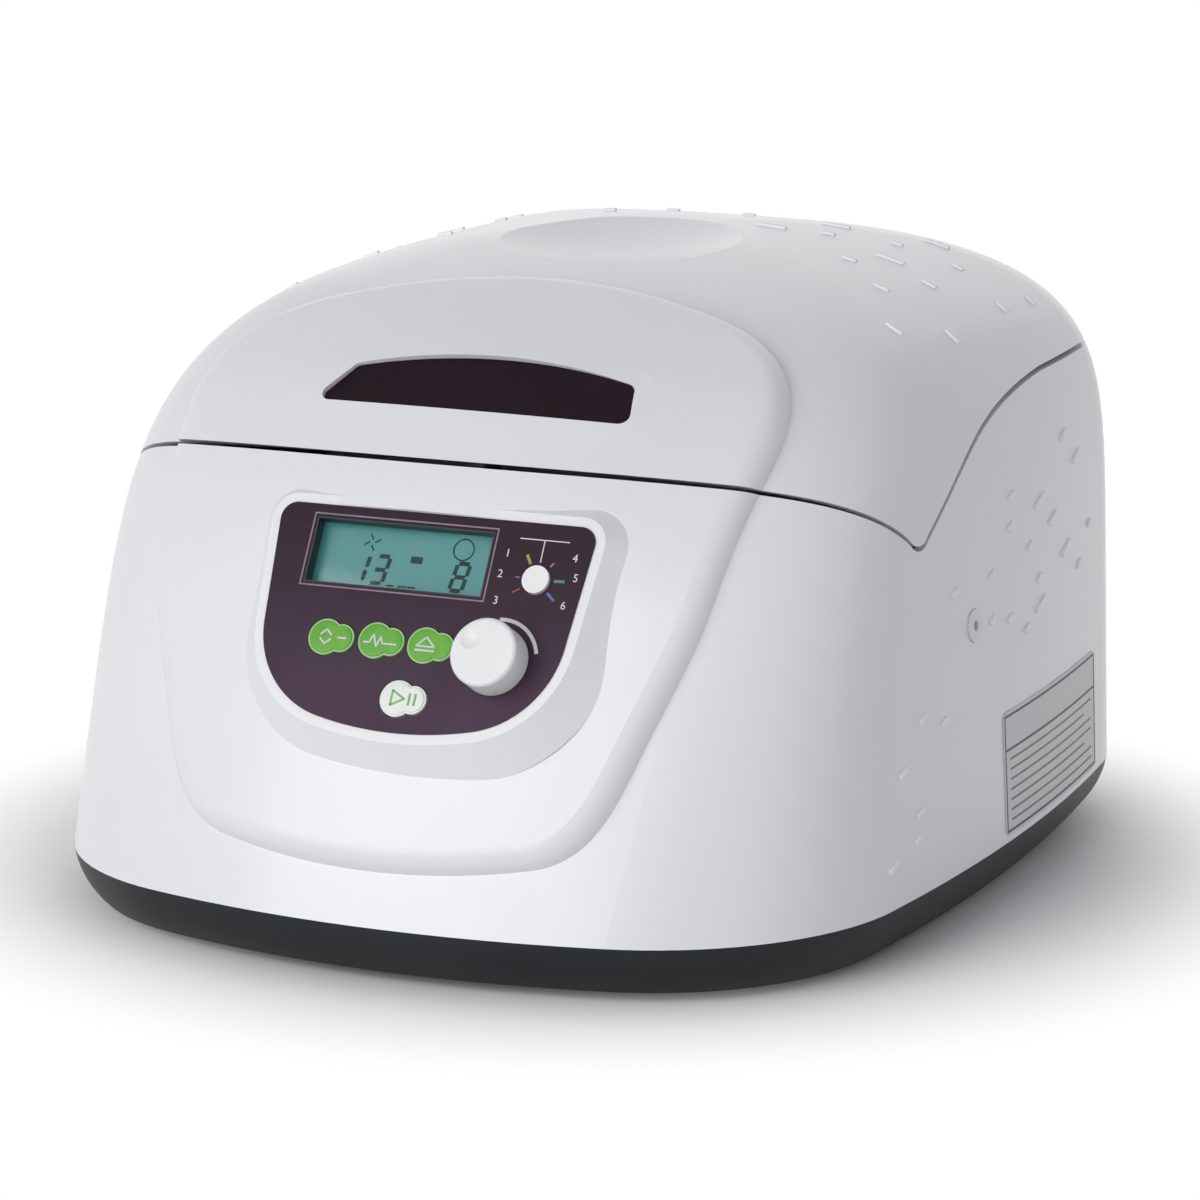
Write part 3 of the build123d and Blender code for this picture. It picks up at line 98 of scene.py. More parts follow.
def soft_light(name, place, size, watts):
    """Square softbox that faces the middle of the object."""
    data = bpy.data.lights.new(name, "AREA")
    data.shape = "SQUARE"
    data.size = size
    data.energy = watts
    lamp = bpy.data.objects.new(name, data)
    bpy.context.scene.collection.objects.link(lamp)
    lamp.location = place
    aim = Vector((0, 0, 0.09)) - Vector(place)
    lamp.rotation_mode = "QUATERNION"
    lamp.rotation_quaternion = aim.to_track_quat("-Z", "Y")


# Name, place, side and power of each softbox
LAMPS = [
    ("key_light", (-0.65, -2.05, 0.75), 1.8, 31.5),
    ("fill_light", (1.8, -0.7, 0.7), 2.0, 5),
    ("back_light", (-0.5, 1.9, 1.0), 1.8, 3),
]
ROOM_LIGHT = 0.35


def light_studio():
    """Key light from the front left, a weak fill on the right and another behind."""
    for lamp in LAMPS:
        soft_light(*lamp)
    world = bpy.data.worlds.new("studio")
    bpy.context.scene.world = world
    world.use_nodes = True
    tree = world.node_tree
    tree.nodes.clear()
    seen = add(tree, "ShaderNodeBackground", Color=(1, 1, 1, 1), Strength=1.0)
    lit = add(tree, "ShaderNodeBackground", Color=(0.93, 0.95, 1, 1), Strength=ROOM_LIGHT)
    out = add(tree, "ShaderNodeOutputWorld")
    mix = add(tree, "ShaderNodeMixShader")
    tree.links.new(straight_rays(tree), mix.inputs[0])
    tree.links.new(lit.outputs[0], mix.inputs[1])
    tree.links.new(seen.outputs[0], mix.inputs[2])
    tree.links.new(mix.outputs[0], out.inputs[0])
    bpy.context.scene.view_settings.view_transform = "Standard"


def straight_rays(tree):
    """Mask of the rays that show the background: from the camera, through glass or off gloss."""
    path = add(tree, "ShaderNodeLightPath")
    mask = path.outputs["Is Camera Ray"]
    for kind in ("Is Transmission Ray", "Is Glossy Ray"):
        most = add(tree, "ShaderNodeMath", {"operation": "MAXIMUM"})
        tree.links.new(mask, most.inputs[0])
        tree.links.new(path.outputs[kind], most.inputs[1])
        mask = most.outputs[0]
    return mask


FLOOR_RADIUS = 6.0
FLOOR_DROP = 0.0004
SHADOW_STARTS_FADING = 0.14
SHADOW_GONE = 0.24


def lay_floor():
    """Pale floor that keeps the shadow near the object and fades to plain white."""
    bpy.ops.mesh.primitive_circle_add(
        vertices=96, radius=FLOOR_RADIUS, fill_type="NGON", location=(0, 0, -FLOOR_DROP)
    )
    floor = bpy.context.object
    floor.name = "floor"
    material = bpy.data.materials.new("floor")
    material.use_nodes = True
    tree = material.node_tree
    tree.nodes.clear()
    coords = add(tree, "ShaderNodeTexCoord")
    length = add(tree, "ShaderNodeVectorMath", {"operation": "LENGTH"})
    fade = add(tree, "ShaderNodeMapRange", {"interpolation_type": "SMOOTHSTEP"})
    fade.inputs["From Min"].default_value = SHADOW_STARTS_FADING
    fade.inputs["From Max"].default_value = SHADOW_GONE
    matt = add(tree, "ShaderNodeBsdfDiffuse", Color=(0.9, 0.9, 0.9, 1))
    white = add(tree, "ShaderNodeEmission", Color=(1, 1, 1, 1), Strength=1.0)
    mask = add(tree, "ShaderNodeMath", {"operation": "MULTIPLY"})
    mix = add(tree, "ShaderNodeMixShader")
    out = add(tree, "ShaderNodeOutputMaterial")
    tree.links.new(coords.outputs["Object"], length.inputs[0])
    tree.links.new(length.outputs["Value"], fade.inputs["Value"])
    tree.links.new(fade.outputs[0], mask.inputs[0])
    tree.links.new(straight_rays(tree), mask.inputs[1])
    tree.links.new(mask.outputs[0], mix.inputs[0])
    tree.links.new(matt.outputs[0], mix.inputs[1])
    tree.links.new(white.outputs[0], mix.inputs[2])
    tree.links.new(mix.outputs[0], out.inputs[0])
    floor.data.materials.append(material)


# Shader building

def add(tree, kind, settings=None, **values):
    """New shader node with its settings and plain socket values."""
    made = tree.nodes.new(kind)
    for key, value in (settings or {}).items():
        setattr(made, key, value)
    for key, value in values.items():
        made.inputs[key.replace("_", " ")].default_value = value
    return made


def new_group(name, inputs, outputs):
    """Empty shader node group with named sockets."""
    group = bpy.data.node_groups.new(name, "ShaderNodeTree")
    kinds = {"color": "NodeSocketColor", "value": "NodeSocketFloat", "vector": "NodeSocketVector"}
    for label, kind in inputs:
        group.interface.new_socket(label, in_out="INPUT", socket_type=kinds[kind])
    for label, kind in outputs:
        group.interface.new_socket(label, in_out="OUTPUT", socket_type=kinds[kind])
    return group, group.nodes.new("NodeGroupInput"), group.nodes.new("NodeGroupOutput")


def mix_colours(tree, factor, first, second, blend="MIX"):
    """Mix node for two colours."""
    mix = add(tree, "ShaderNodeMix", {"data_type": "RGBA", "blend_type": blend})
    for source, socket in ((factor, 0), (first, 6), (second, 7)):
        if isinstance(source, bpy.types.NodeSocket):
            tree.links.new(source, mix.inputs[socket])
        else:
            mix.inputs[socket].default_value = source
    return mix.outputs[2]


def moulded_surface():
    """Moulded plastic or rubber: slow change of tone and gloss, and a fine grain."""
    group, given, out = new_group(
        "moulded_surface",
        (
            ("Color", "color"),
            ("Tint", "color"),
            ("Tint Scale", "value"),
            ("Roughness", "value"),
            ("Gloss Change", "value"),
            ("Grain Scale", "value"),
            ("Grain Depth", "value"),
        ),
        (("Color", "color"), ("Roughness", "value"), ("Normal", "vector")),
    )
    coords = add(group, "ShaderNodeTexCoord")
    slow = add(group, "ShaderNodeTexNoise", Detail=3.0, Roughness=0.55)
    group.links.new(coords.outputs["Object"], slow.inputs["Vector"])
    group.links.new(given.outputs["Tint Scale"], slow.inputs["Scale"])
    soft = add(group, "ShaderNodeMapRange", {"interpolation_type": "SMOOTHSTEP"})
    soft.inputs["From Min"].default_value = 0.35
    soft.inputs["From Max"].default_value = 0.68
    group.links.new(slow.outputs["Fac"], soft.inputs["Value"])
    tone = mix_colours(group, soft.outputs[0], given.outputs["Color"], given.outputs["Tint"])
    group.links.new(tone, out.inputs["Color"])
    change = add(group, "ShaderNodeMath", {"operation": "MULTIPLY_ADD"})
    group.links.new(soft.outputs[0], change.inputs[0])
    group.links.new(given.outputs["Gloss Change"], change.inputs[1])
    group.links.new(given.outputs["Roughness"], change.inputs[2])
    group.links.new(change.outputs[0], out.inputs["Roughness"])
    grain = add(group, "ShaderNodeTexNoise", Detail=2.0, Roughness=0.5)
    group.links.new(coords.outputs["Object"], grain.inputs["Vector"])
    group.links.new(given.outputs["Grain Scale"], grain.inputs["Scale"])
    bump = add(group, "ShaderNodeBump", Strength=1.0)
    group.links.new(given.outputs["Grain Depth"], bump.inputs["Distance"])
    group.links.new(grain.outputs["Fac"], bump.inputs["Height"])
    group.links.new(bump.outputs["Normal"], out.inputs["Normal"])
    return group


def brushed_surface():
    """Metal with fine lines: noise along given stretched coordinates."""
    group, given, out = new_group(
        "brushed_surface",
        (
            ("Lines", "vector"),
            ("Color", "color"),
            ("Dark", "color"),
            ("Roughness", "value"),
            ("Spread", "value"),
            ("Line Depth", "value"),
        ),
        (("Color", "color"), ("Roughness", "value"), ("Normal", "vector")),
    )
    lines = add(group, "ShaderNodeTexNoise", Scale=1.0, Detail=4.0, Roughness=0.6)
    group.links.new(given.outputs["Lines"], lines.inputs["Vector"])
    tone = mix_colours(group, lines.outputs["Fac"], given.outputs["Dark"], given.outputs["Color"])
    group.links.new(tone, out.inputs["Color"])
    rough = add(group, "ShaderNodeMath", {"operation": "MULTIPLY_ADD"})
    group.links.new(lines.outputs["Fac"], rough.inputs[0])
    group.links.new(given.outputs["Spread"], rough.inputs[1])
    group.links.new(given.outputs["Roughness"], rough.inputs[2])
    group.links.new(rough.outputs[0], out.inputs["Roughness"])
    bump = add(group, "ShaderNodeBump", Strength=1.0)
    group.links.new(given.outputs["Line Depth"], bump.inputs["Distance"])
    group.links.new(lines.outputs["Fac"], bump.inputs["Height"])
    group.links.new(bump.outputs["Normal"], out.inputs["Normal"])
    return group


MOULDED = moulded_surface()
BRUSHED = brushed_surface()


def start_material(name, metallic=0.0, **shader_values):
    """Material with one Principled shader wired to its output."""
    material = bpy.data.materials.new(name)
    material.use_nodes = True
    tree = material.node_tree
    tree.nodes.clear()
    shader = add(tree, "ShaderNodeBsdfPrincipled", Metallic=metallic, **shader_values)
    out = add(tree, "ShaderNodeOutputMaterial")
    tree.links.new(shader.outputs[0], out.inputs[0])
    return material, tree, shader


def place_group(tree, group, shader, **values):
    """Puts a node group in a material and wires its three outputs to the shader."""
    made = tree.nodes.new("ShaderNodeGroup")
    made.node_tree = group
    for key, value in values.items():
        made.inputs[key.replace("_", " ")].default_value = value
    tree.links.new(made.outputs["Color"], shader.inputs["Base Color"])
    tree.links.new(made.outputs["Roughness"], shader.inputs["Roughness"])
    tree.links.new(made.outputs["Normal"], shader.inputs["Normal"])
    return made


def rgb(*channels):
    """Colour with full alpha."""
    return (*channels, 1.0)


def moulded(name, colour, tint, roughness, change=0.08, tint_scale=9.0, grain=(900.0, 0.00002), **shader):
    """Plastic or rubber finish."""
    material, tree, made = start_material(name, **shader)
    place_group(
        tree,
        MOULDED,
        made,
        Color=rgb(*colour),
        Tint=rgb(*tint),
        Tint_Scale=tint_scale,
        Roughness=roughness,
        Gloss_Change=change,
        Grain_Scale=grain[0],
        Grain_Depth=grain[1],
    )
    return material


def turned_lines(tree, across, along):
    """Coordinates whose lines run round the rotor's axis."""
    coords = add(tree, "ShaderNodeTexCoord")
    centred = add(tree, "ShaderNodeVectorMath", {"operation": "SUBTRACT"})
    centred.inputs[1].default_value = ROTOR_AXIS
    tree.links.new(coords.outputs["Object"], centred.inputs[0])
    flat = add(tree, "ShaderNodeVectorMath", {"operation": "MULTIPLY"})
    flat.inputs[1].default_value = (1, 1, 0)
    tree.links.new(centred.outputs[0], flat.inputs[0])
    reach = add(tree, "ShaderNodeVectorMath", {"operation": "LENGTH"})
    tree.links.new(flat.outputs[0], reach.inputs[0])
    axes = add(tree, "ShaderNodeSeparateXYZ")
    tree.links.new(centred.outputs[0], axes.inputs[0])
    joined = add(tree, "ShaderNodeCombineXYZ")
    tree.links.new(reach.outputs["Value"], joined.inputs[0])
    tree.links.new(axes.outputs["Z"], joined.inputs[1])
    scaled = add(tree, "ShaderNodeVectorMath", {"operation": "MULTIPLY"})
    scaled.inputs[1].default_value = (across, along, 1)
    tree.links.new(joined.outputs[0], scaled.inputs[0])
    return scaled.outputs[0]


def straight_lines(tree, stretch):
    """Coordinates whose lines run along the least stretched axis."""
    coords = add(tree, "ShaderNodeTexCoord")
    scaled = add(tree, "ShaderNodeVectorMath", {"operation": "MULTIPLY"})
    scaled.inputs[1].default_value = stretch
    tree.links.new(coords.outputs["Object"], scaled.inputs[0])
    return scaled.outputs[0]


def brushed(name, colour, dark, roughness, spread=0.15, depth=0.000004, stretch=None, **shader):
    """Bare metal finish, brushed straight along one axis or turned about the rotor's axis."""
    material, tree, made = start_material(name, metallic=1.0, **shader)
    group = place_group(
        tree,
        BRUSHED,
        made,
        Color=rgb(*colour),
        Dark=rgb(*dark),
        Roughness=roughness,
        Spread=spread,
        Line_Depth=depth,
    )
    lines = straight_lines(tree, stretch) if stretch else turned_lines(tree, 1800.0, 1800.0)
    tree.links.new(lines, group.inputs["Lines"])
    return material


def overlay_film():
    """Aubergine printed film, with painted shading: darker at the top, a little paler towards its lower
    edge.
    """
    material, tree, shader = start_material("overlay_film", Specular_IOR_Level=0.14)
    group = place_group(
        tree,
        MOULDED,
        shader,
        Tint_Scale=30.0,
        Roughness=0.42,
        Gloss_Change=0.05,
        Grain_Scale=2600.0,
        Grain_Depth=0.000008,
    )
    coords = add(tree, "ShaderNodeTexCoord")
    axes = add(tree, "ShaderNodeSeparateXYZ")
    tree.links.new(coords.outputs["Object"], axes.inputs[0])
    low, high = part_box("control_overlay")
    # Painted shading: the colour runs from paler at the film's lower edge to darker at its top.
    rise = add(tree, "ShaderNodeMapRange", {"interpolation_type": "SMOOTHSTEP"})
    rise.inputs["From Min"].default_value = low.z
    rise.inputs["From Max"].default_value = high.z
    tree.links.new(axes.outputs["Z"], rise.inputs["Value"])
    tone = mix_colours(tree, rise.outputs[0], rgb(0.064, 0.034, 0.062), rgb(0.020, 0.008, 0.016))
    tree.links.new(tone, group.inputs["Color"])
    tint = mix_colours(tree, rise.outputs[0], rgb(0.056, 0.028, 0.053), rgb(0.025, 0.011, 0.020))
    tree.links.new(tint, group.inputs["Tint"])
    return material


def display_painted_glow():
    """Display: teal with a slow random change of tone, and a faint glow of painted light that makes up for
    the light the lens holds back.
    """
    material, tree, shader = start_material("display_painted_glow", Emission_Strength=0.25)
    group = place_group(
        tree,
        MOULDED,
        shader,
        Color=rgb(0.040, 0.170, 0.178),
        Tint=rgb(0.047, 0.190, 0.198),
        Tint_Scale=22.0,
        Roughness=0.4,
        Gloss_Change=0.05,
        Grain_Scale=4000.0,
        Grain_Depth=0.000004,
    )
    # Painted light: the display's colour is also fed to its emission, so it glows faintly.
    tree.links.new(group.outputs["Color"], shader.inputs["Emission Color"])
    return material


def clear_lens():
    """Clear plastic window."""
    material, tree, shader = start_material(
        "clear_lens", Transmission_Weight=1.0, Roughness=0.03, IOR=1.25
    )
    coords = add(tree, "ShaderNodeTexCoord")
    haze = add(tree, "ShaderNodeTexNoise", Scale=60.0)
    tree.links.new(coords.outputs["Object"], haze.inputs["Vector"])
    tone = mix_colours(tree, haze.outputs["Fac"], rgb(0.96, 1.0, 0.99), rgb(0.9, 0.97, 0.95))
    tree.links.new(tone, shader.inputs["Base Color"])
    return material


def wound_copper():
    """Stator: enamelled copper windings between dark laminations."""
    material, tree, shader = start_material("wound_copper", metallic=0.7)
    group = place_group(
        tree, BRUSHED, shader, Color=rgb(0.5, 0.2, 0.08), Dark=rgb(0.16, 0.06, 0.03), Roughness=0.35,
        Spread=0.2, Line_Depth=0.00012,
    )
    tree.links.new(turned_lines(tree, 3000.0, 700.0), group.inputs["Lines"])
    return material


PEARL = dict(Coat_Weight=0.35, Coat_Roughness=0.16)

FINISHES = {
    "casing_white": moulded(
        "pearl_casing", (0.76, 0.76, 0.785), (0.79, 0.785, 0.80),
        0.34, 0.05, 6.0, (1500.0, 0.000006), **PEARL
    ),
    "liner_grey": moulded("liner_plastic", (0.50, 0.51, 0.53), (0.55, 0.56, 0.57), 0.42, 0.1),
    "deck_grey": moulded("deck_plastic", (0.66, 0.67, 0.68), (0.70, 0.70, 0.71), 0.40, 0.1),
    "screw_steel": brushed(
        "screw_steel", (0.66, 0.66, 0.67), (0.45, 0.45, 0.47), 0.28, stretch=(900, 900, 900)
    ),
    "badge_aubergine": moulded(
        "badge_plate", (0.010, 0.004, 0.008), (0.014, 0.006, 0.011),
        0.45, 0.05, 26.0, Specular_IOR_Level=0.08
    ),
    "spring_steel": brushed(
        "spring_steel", (0.55, 0.56, 0.58), (0.36, 0.37, 0.39), 0.26, stretch=(1500, 60, 60)
    ),
    "chamber_steel": brushed("chamber_steel", (0.68, 0.69, 0.71), (0.50, 0.51, 0.53), 0.24, 0.18),
    "gasket_rubber": moulded("gasket_rubber", (0.018, 0.018, 0.018), (0.028, 0.028, 0.028), 0.62, 0.1),
    "tray_charcoal": moulded(
        "tray_charcoal", (0.012, 0.015, 0.017), (0.016, 0.019, 0.021),
        0.42, 0.08, 12.0, (1800.0, 0.00002), Specular_IOR_Level=0.25
    ),
    "foot_rubber": moulded("foot_rubber", (0.015, 0.015, 0.015), (0.024, 0.023, 0.022), 0.7, 0.1, 40.0),
    "rotor_aluminium": brushed("rotor_aluminium", (0.60, 0.61, 0.63), (0.46, 0.47, 0.49), 0.30, 0.14),
    "sleeve_steel": brushed(
        "sleeve_steel", (0.68, 0.69, 0.71), (0.60, 0.61, 0.63),
        0.26, 0.08, 0.000001, stretch=(1500, 1500, 1500)
    ),
    "shaft_steel": brushed("shaft_steel", (0.62, 0.62, 0.64), (0.46, 0.46, 0.48), 0.22),
    "knob_white": moulded("knob_white", (0.78, 0.78, 0.785), (0.82, 0.82, 0.82), 0.36, 0.06, 50.0),
    "core_iron": brushed("core_iron", (0.16, 0.16, 0.17), (0.08, 0.08, 0.09), 0.42, stretch=(80, 80, 4000)),
    "motor_paint": moulded("motor_paint", (0.05, 0.05, 0.056), (0.07, 0.07, 0.075), 0.4, 0.1),
    "winding_copper": wound_copper(),
    "bearing_steel": brushed("bearing_steel", (0.70, 0.70, 0.72), (0.58, 0.58, 0.60), 0.12),
    "plate_steel": brushed(
        "plate_steel", (0.52, 0.53, 0.55), (0.42, 0.43, 0.45), 0.34, stretch=(40, 1500, 40)
    ),
    "hinge_steel": moulded("hinge_paint", (0.62, 0.62, 0.635), (0.66, 0.66, 0.67), 0.42, 0.08, 40.0),
    "lock_black": moulded("lock_plastic", (0.022, 0.022, 0.024), (0.03, 0.03, 0.032), 0.45, 0.1),
    "solenoid_steel": moulded("solenoid_paint", (0.13, 0.13, 0.15), (0.17, 0.17, 0.18), 0.36, 0.1),
    "overlay_aubergine": overlay_film(),
    "lens_clear": clear_lens(),
    "display_teal": display_painted_glow(),
    "board_green": moulded("board_mask", (0.015, 0.11, 0.045), (0.02, 0.15, 0.06), 0.36, 0.1, 120.0),
    "standoff_brass": brushed(
        "standoff_brass", (0.66, 0.50, 0.22), (0.45, 0.33, 0.13), 0.25, stretch=(60, 60, 2400)
    ),
    "key_green": moulded("key_rim_green", (0.30, 0.52, 0.21), (0.34, 0.56, 0.25), 0.45, 0.06, 60.0),
    "key_pale": moulded("key_pale", (0.72, 0.78, 0.70), (0.76, 0.80, 0.74), 0.42, 0.06, 60.0),
    "inlet_black": moulded("inlet_black", (0.018, 0.018, 0.019), (0.026, 0.026, 0.027), 0.42, 0.1, 40.0),
    "pin_brass": brushed("pin_brass", (0.70, 0.56, 0.30), (0.52, 0.40, 0.18), 0.22, stretch=(2400, 60, 60)),
    "rocker_black": moulded("rocker_black", (0.014, 0.014, 0.015), (0.02, 0.02, 0.021), 0.2, 0.06, 60.0),
    "plug_white": moulded("plug_white", (0.76, 0.76, 0.78), (0.80, 0.80, 0.81), 0.34, 0.06, 60.0),
    "label_pale": moulded("label_film", (0.60, 0.61, 0.62), (0.64, 0.645, 0.65), 0.4, 0.06, 30.0),
    "supply_steel": brushed(
        "supply_steel", (0.58, 0.59, 0.60), (0.44, 0.45, 0.47), 0.32, stretch=(50, 1400, 1400)
    ),
    "sink_aluminium": brushed(
        "sink_aluminium", (0.34, 0.35, 0.36), (0.24, 0.25, 0.26), 0.38, stretch=(1200, 40, 1200)
    ),
}

KEY_CAP = moulded("key_cap_green", (0.085, 0.34, 0.010), (0.105, 0.38, 0.016), 0.40, 0.06, 70.0)
KEY_CAP_WHITE = moulded("key_cap_white", (0.76, 0.81, 0.75), (0.80, 0.84, 0.79), 0.40, 0.06, 70.0)
# Raised dashes: a lighter white than the casing's own, a painted highlight on the dashes.
RAISED_PAINTED_HIGHLIGHT = moulded("raised_painted_highlight", (0.90, 0.90, 0.91), (0.93, 0.93, 0.935), 0.36, 0.05, 40.0)
PRINT_WHITE = moulded("print_white", (0.70, 0.68, 0.71), (0.62, 0.60, 0.64), 0.5, 0.05, 90.0)
PRINT_FRAME = moulded("print_frame", (0.25, 0.17, 0.25), (0.20, 0.14, 0.20), 0.5, 0.05, 90.0)
PRINT_DARK = moulded("print_dark", (0.05, 0.05, 0.055), (0.075, 0.075, 0.08), 0.5, 0.05, 90.0)
PRINT_GREY = moulded("print_grey", (0.15, 0.15, 0.155), (0.19, 0.19, 0.195), 0.5, 0.05, 90.0)
PRINT_GREEN = moulded("print_green", (0.17, 0.42, 0.12), (0.20, 0.46, 0.15), 0.5, 0.05, 90.0)
# Dark teal for the walls of the display window: painted shade where the recess lies in shadow.
WINDOW_PAINTED_SHADE = moulded("window_painted_shade", (0.010, 0.020, 0.022), (0.014, 0.026, 0.028), 0.5, 0.05, 60.0)
DISPLAY_INK = moulded(
    "display_ink", (0.004, 0.030, 0.030), (0.006, 0.038, 0.038), 0.5, 0.04, 90.0, Specular_IOR_Level=0.1
)
TICK_COLOURS = {
    "yellow": moulded("tick_yellow", (0.34, 0.26, 0.06), (0.29, 0.22, 0.06), 0.5, 0.05, 90.0),
    "rose": moulded("tick_rose", (0.30, 0.16, 0.22), (0.26, 0.13, 0.19), 0.5, 0.05, 90.0),
    "green": moulded("tick_green", (0.06, 0.21, 0.13), (0.05, 0.18, 0.11), 0.5, 0.05, 90.0),
    "blue": moulded("tick_blue", (0.09, 0.12, 0.32), (0.08, 0.10, 0.28), 0.5, 0.05, 90.0),
    "red": moulded("tick_red", (0.30, 0.05, 0.04), (0.26, 0.04, 0.04), 0.5, 0.05, 90.0),
    "violet": moulded("tick_violet", (0.19, 0.10, 0.27), (0.16, 0.08, 0.23), 0.5, 0.05, 90.0),
}


def dress_frame():
    """Gives every solid of the frame the finish of its material slot."""
    slots = {row["node"]: row["material_slot"] for row in frame["record"]["subparts"]}
    for node, piece in frame["nodes"].items():
        for row in piece.material_slots:
            row.material = FINISHES[slots[node]]


# Modelling helpers

def select_only(*pieces):
    """Selects these objects and nothing else."""
    if bpy.context.object and bpy.context.object.mode != "OBJECT":
        bpy.ops.object.mode_set(mode="OBJECT")
    bpy.ops.object.select_all(action="DESELECT")
    for piece in pieces:
        piece.select_set(True)
    bpy.context.view_layer.objects.active = pieces[-1]


def edit(piece, *steps):
    """Runs edit-mode steps on all of a piece's geometry."""
    select_only(piece)
    bpy.ops.object.mode_set(mode="EDIT")
    bpy.ops.mesh.select_all(action="SELECT")
    for operator, values in steps:
        operator(**values)
    bpy.ops.object.mode_set(mode="OBJECT")
    return piece


def join(pieces):
    """Joins several pieces into the last one."""
    select_only(*pieces)
    if len(pieces) > 1:
        bpy.ops.object.join()
    return bpy.context.object


def settle(piece, name, place, body, material):
    """Puts a finished piece's place in its mesh and lets it ride on its body."""
    piece.name = name
    piece.data.name = name
    piece.data.transform(place @ piece.matrix_basis)
    piece.matrix_basis = Matrix.Identity(4)
    outward = (bpy.ops.mesh.normals_make_consistent, {"inside": False})
    edit(piece, (bpy.ops.mesh.remove_doubles, {"threshold": 0.000002}), outward)
    if material:
        piece.data.materials.clear()
        piece.data.materials.append(material)
    select_only(piece)
    bpy.ops.object.shade_smooth_by_angle(angle=radians(35))
    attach(piece, body)
    return piece


def bar(centre, size, bevel, turn=0.0, segments=2):
    """Bar with rounded edges, in millimetres, turned about its own Z."""
    bpy.ops.mesh.primitive_cube_add(size=1)
    piece = bpy.context.object
    spot = Matrix.Translation(Vector(centre) * MM) @ Matrix.Rotation(turn, 4, "Z")
    piece.data.transform(Matrix.Diagonal((*(side * MM for side in size), 1)))
    if bevel:
        edit(piece, (bpy.ops.mesh.bevel, {"offset": bevel * MM, "segments": segments}))
    piece.data.transform(spot)
    return piece


def disc(centre, radius, depth, bevel=0.0, vertices=48):
    """Round disc standing on its centre, in millimetres."""
    bpy.ops.mesh.primitive_cylinder_add(vertices=vertices, radius=radius * MM, depth=depth * MM)
    piece = bpy.context.object
    if bevel:
        select_top_edges(piece, depth * MM / 2)
        bpy.ops.object.mode_set(mode="EDIT")
        bpy.ops.mesh.bevel(offset=bevel * MM, segments=3)
        bpy.ops.object.mode_set(mode="OBJECT")
    piece.data.transform(Matrix.Translation((centre[0] * MM, centre[1] * MM, (centre[2] + depth / 2) * MM)))
    return piece


def select_top_edges(piece, height):
    """Selects the edges that lie at one height of a piece's own Z."""
    select_only(piece)
    bpy.ops.object.mode_set(mode="EDIT")
    bpy.ops.mesh.select_all(action="DESELECT")
    bpy.ops.mesh.select_mode(type="EDGE")
    bpy.ops.object.mode_set(mode="OBJECT")
    points = piece.data.vertices
    for edge in piece.data.edges:
        edge.select = all(abs(points[i].co.z - height) < 1e-7 for i in edge.vertices)


def ring_arc(centre, radius, width, depth, start, end, steps):
    """Flat arc: a small rectangle spun about the panel's normal, from one angle to another."""
    bpy.ops.mesh.primitive_plane_add(size=1)
    piece = bpy.context.object
    upright = Matrix.Rotation(pi / 2, 4, "X")
    size = Matrix.Diagonal((width * MM, depth * MM, 1, 1))
    shift = Matrix.Translation((radius * MM, 0, depth * MM / 2))
    piece.data.transform(Matrix.Rotation(start, 4, "Z") @ shift @ upright @ size)
    spin = {"steps": steps, "angle": start - end, "center": (0, 0, 0), "axis": (0, 0, 1)}
    edit(
        piece,
        (bpy.ops.mesh.delete, {"type": "ONLY_FACE"}),
        (bpy.ops.mesh.select_all, {"action": "SELECT"}),
        (bpy.ops.mesh.spin, spin),
        (bpy.ops.mesh.select_all, {"action": "SELECT"}),
        (bpy.ops.mesh.remove_doubles, {"threshold": 0.000001}),
        (bpy.ops.mesh.fill_holes, {"sides": 4}),
    )
    piece.data.transform(Matrix.Translation(Vector(centre) * MM))
    return piece


def frame_line(centre, size, line, depth):
    """Rectangular outline of one line width, standing a little proud."""
    bpy.ops.mesh.primitive_plane_add(size=1)
    piece = bpy.context.object
    piece.data.transform(Matrix.Diagonal((size[0] * MM, size[1] * MM, 1, 1)))
    raised = {"TRANSFORM_OT_translate": {"value": (0, 0, depth * MM)}}
    edit(
        piece,
        (bpy.ops.mesh.inset, {"thickness": line * MM, "depth": 0}),
        (bpy.ops.mesh.delete, {"type": "FACE"}),
        (bpy.ops.mesh.select_all, {"action": "SELECT"}),
        (bpy.ops.mesh.extrude_region_move, raised),
    )
    piece.data.transform(Matrix.Translation(Vector(centre) * MM))
    return piece


# Size of the built-in letters against the height of their numerals
LETTER_RATIO = 1.35


def lettering(text, centre, height, depth):
    """Plain numerals as a thin mesh."""
    bpy.ops.object.text_add()
    piece = bpy.context.object
    piece.data.body = text
    piece.data.size = height * MM * LETTER_RATIO
    piece.data.extrude = depth * MM / 2
    piece.data.align_x = "CENTER"
    piece.data.align_y = "CENTER"
    select_only(piece)
    bpy.ops.object.convert(target="MESH")
    piece = bpy.context.object
    piece.data.transform(Matrix.Translation((centre[0] * MM, centre[1] * MM, (centre[2] + depth / 2) * MM)))
    return piece


# Control panel

INK = 0.08
FRAME_MARGIN = 1.2
FRAME_LINE = 0.45
SHADE_RING_WIDTH = 0.35
SHADE_RING_GAP = 0.05


def print_display_frame():
    """Thin outline printed round the display window."""
    size = tuple(side + 2 * FRAME_MARGIN for side in DISPLAY_SIZE)
    piece = frame_line((*DISPLAY_CENTRE, OVERLAY_FACE), size, FRAME_LINE, INK)
    settle(piece, "display_outline", PANEL, "base", PRINT_FRAME)


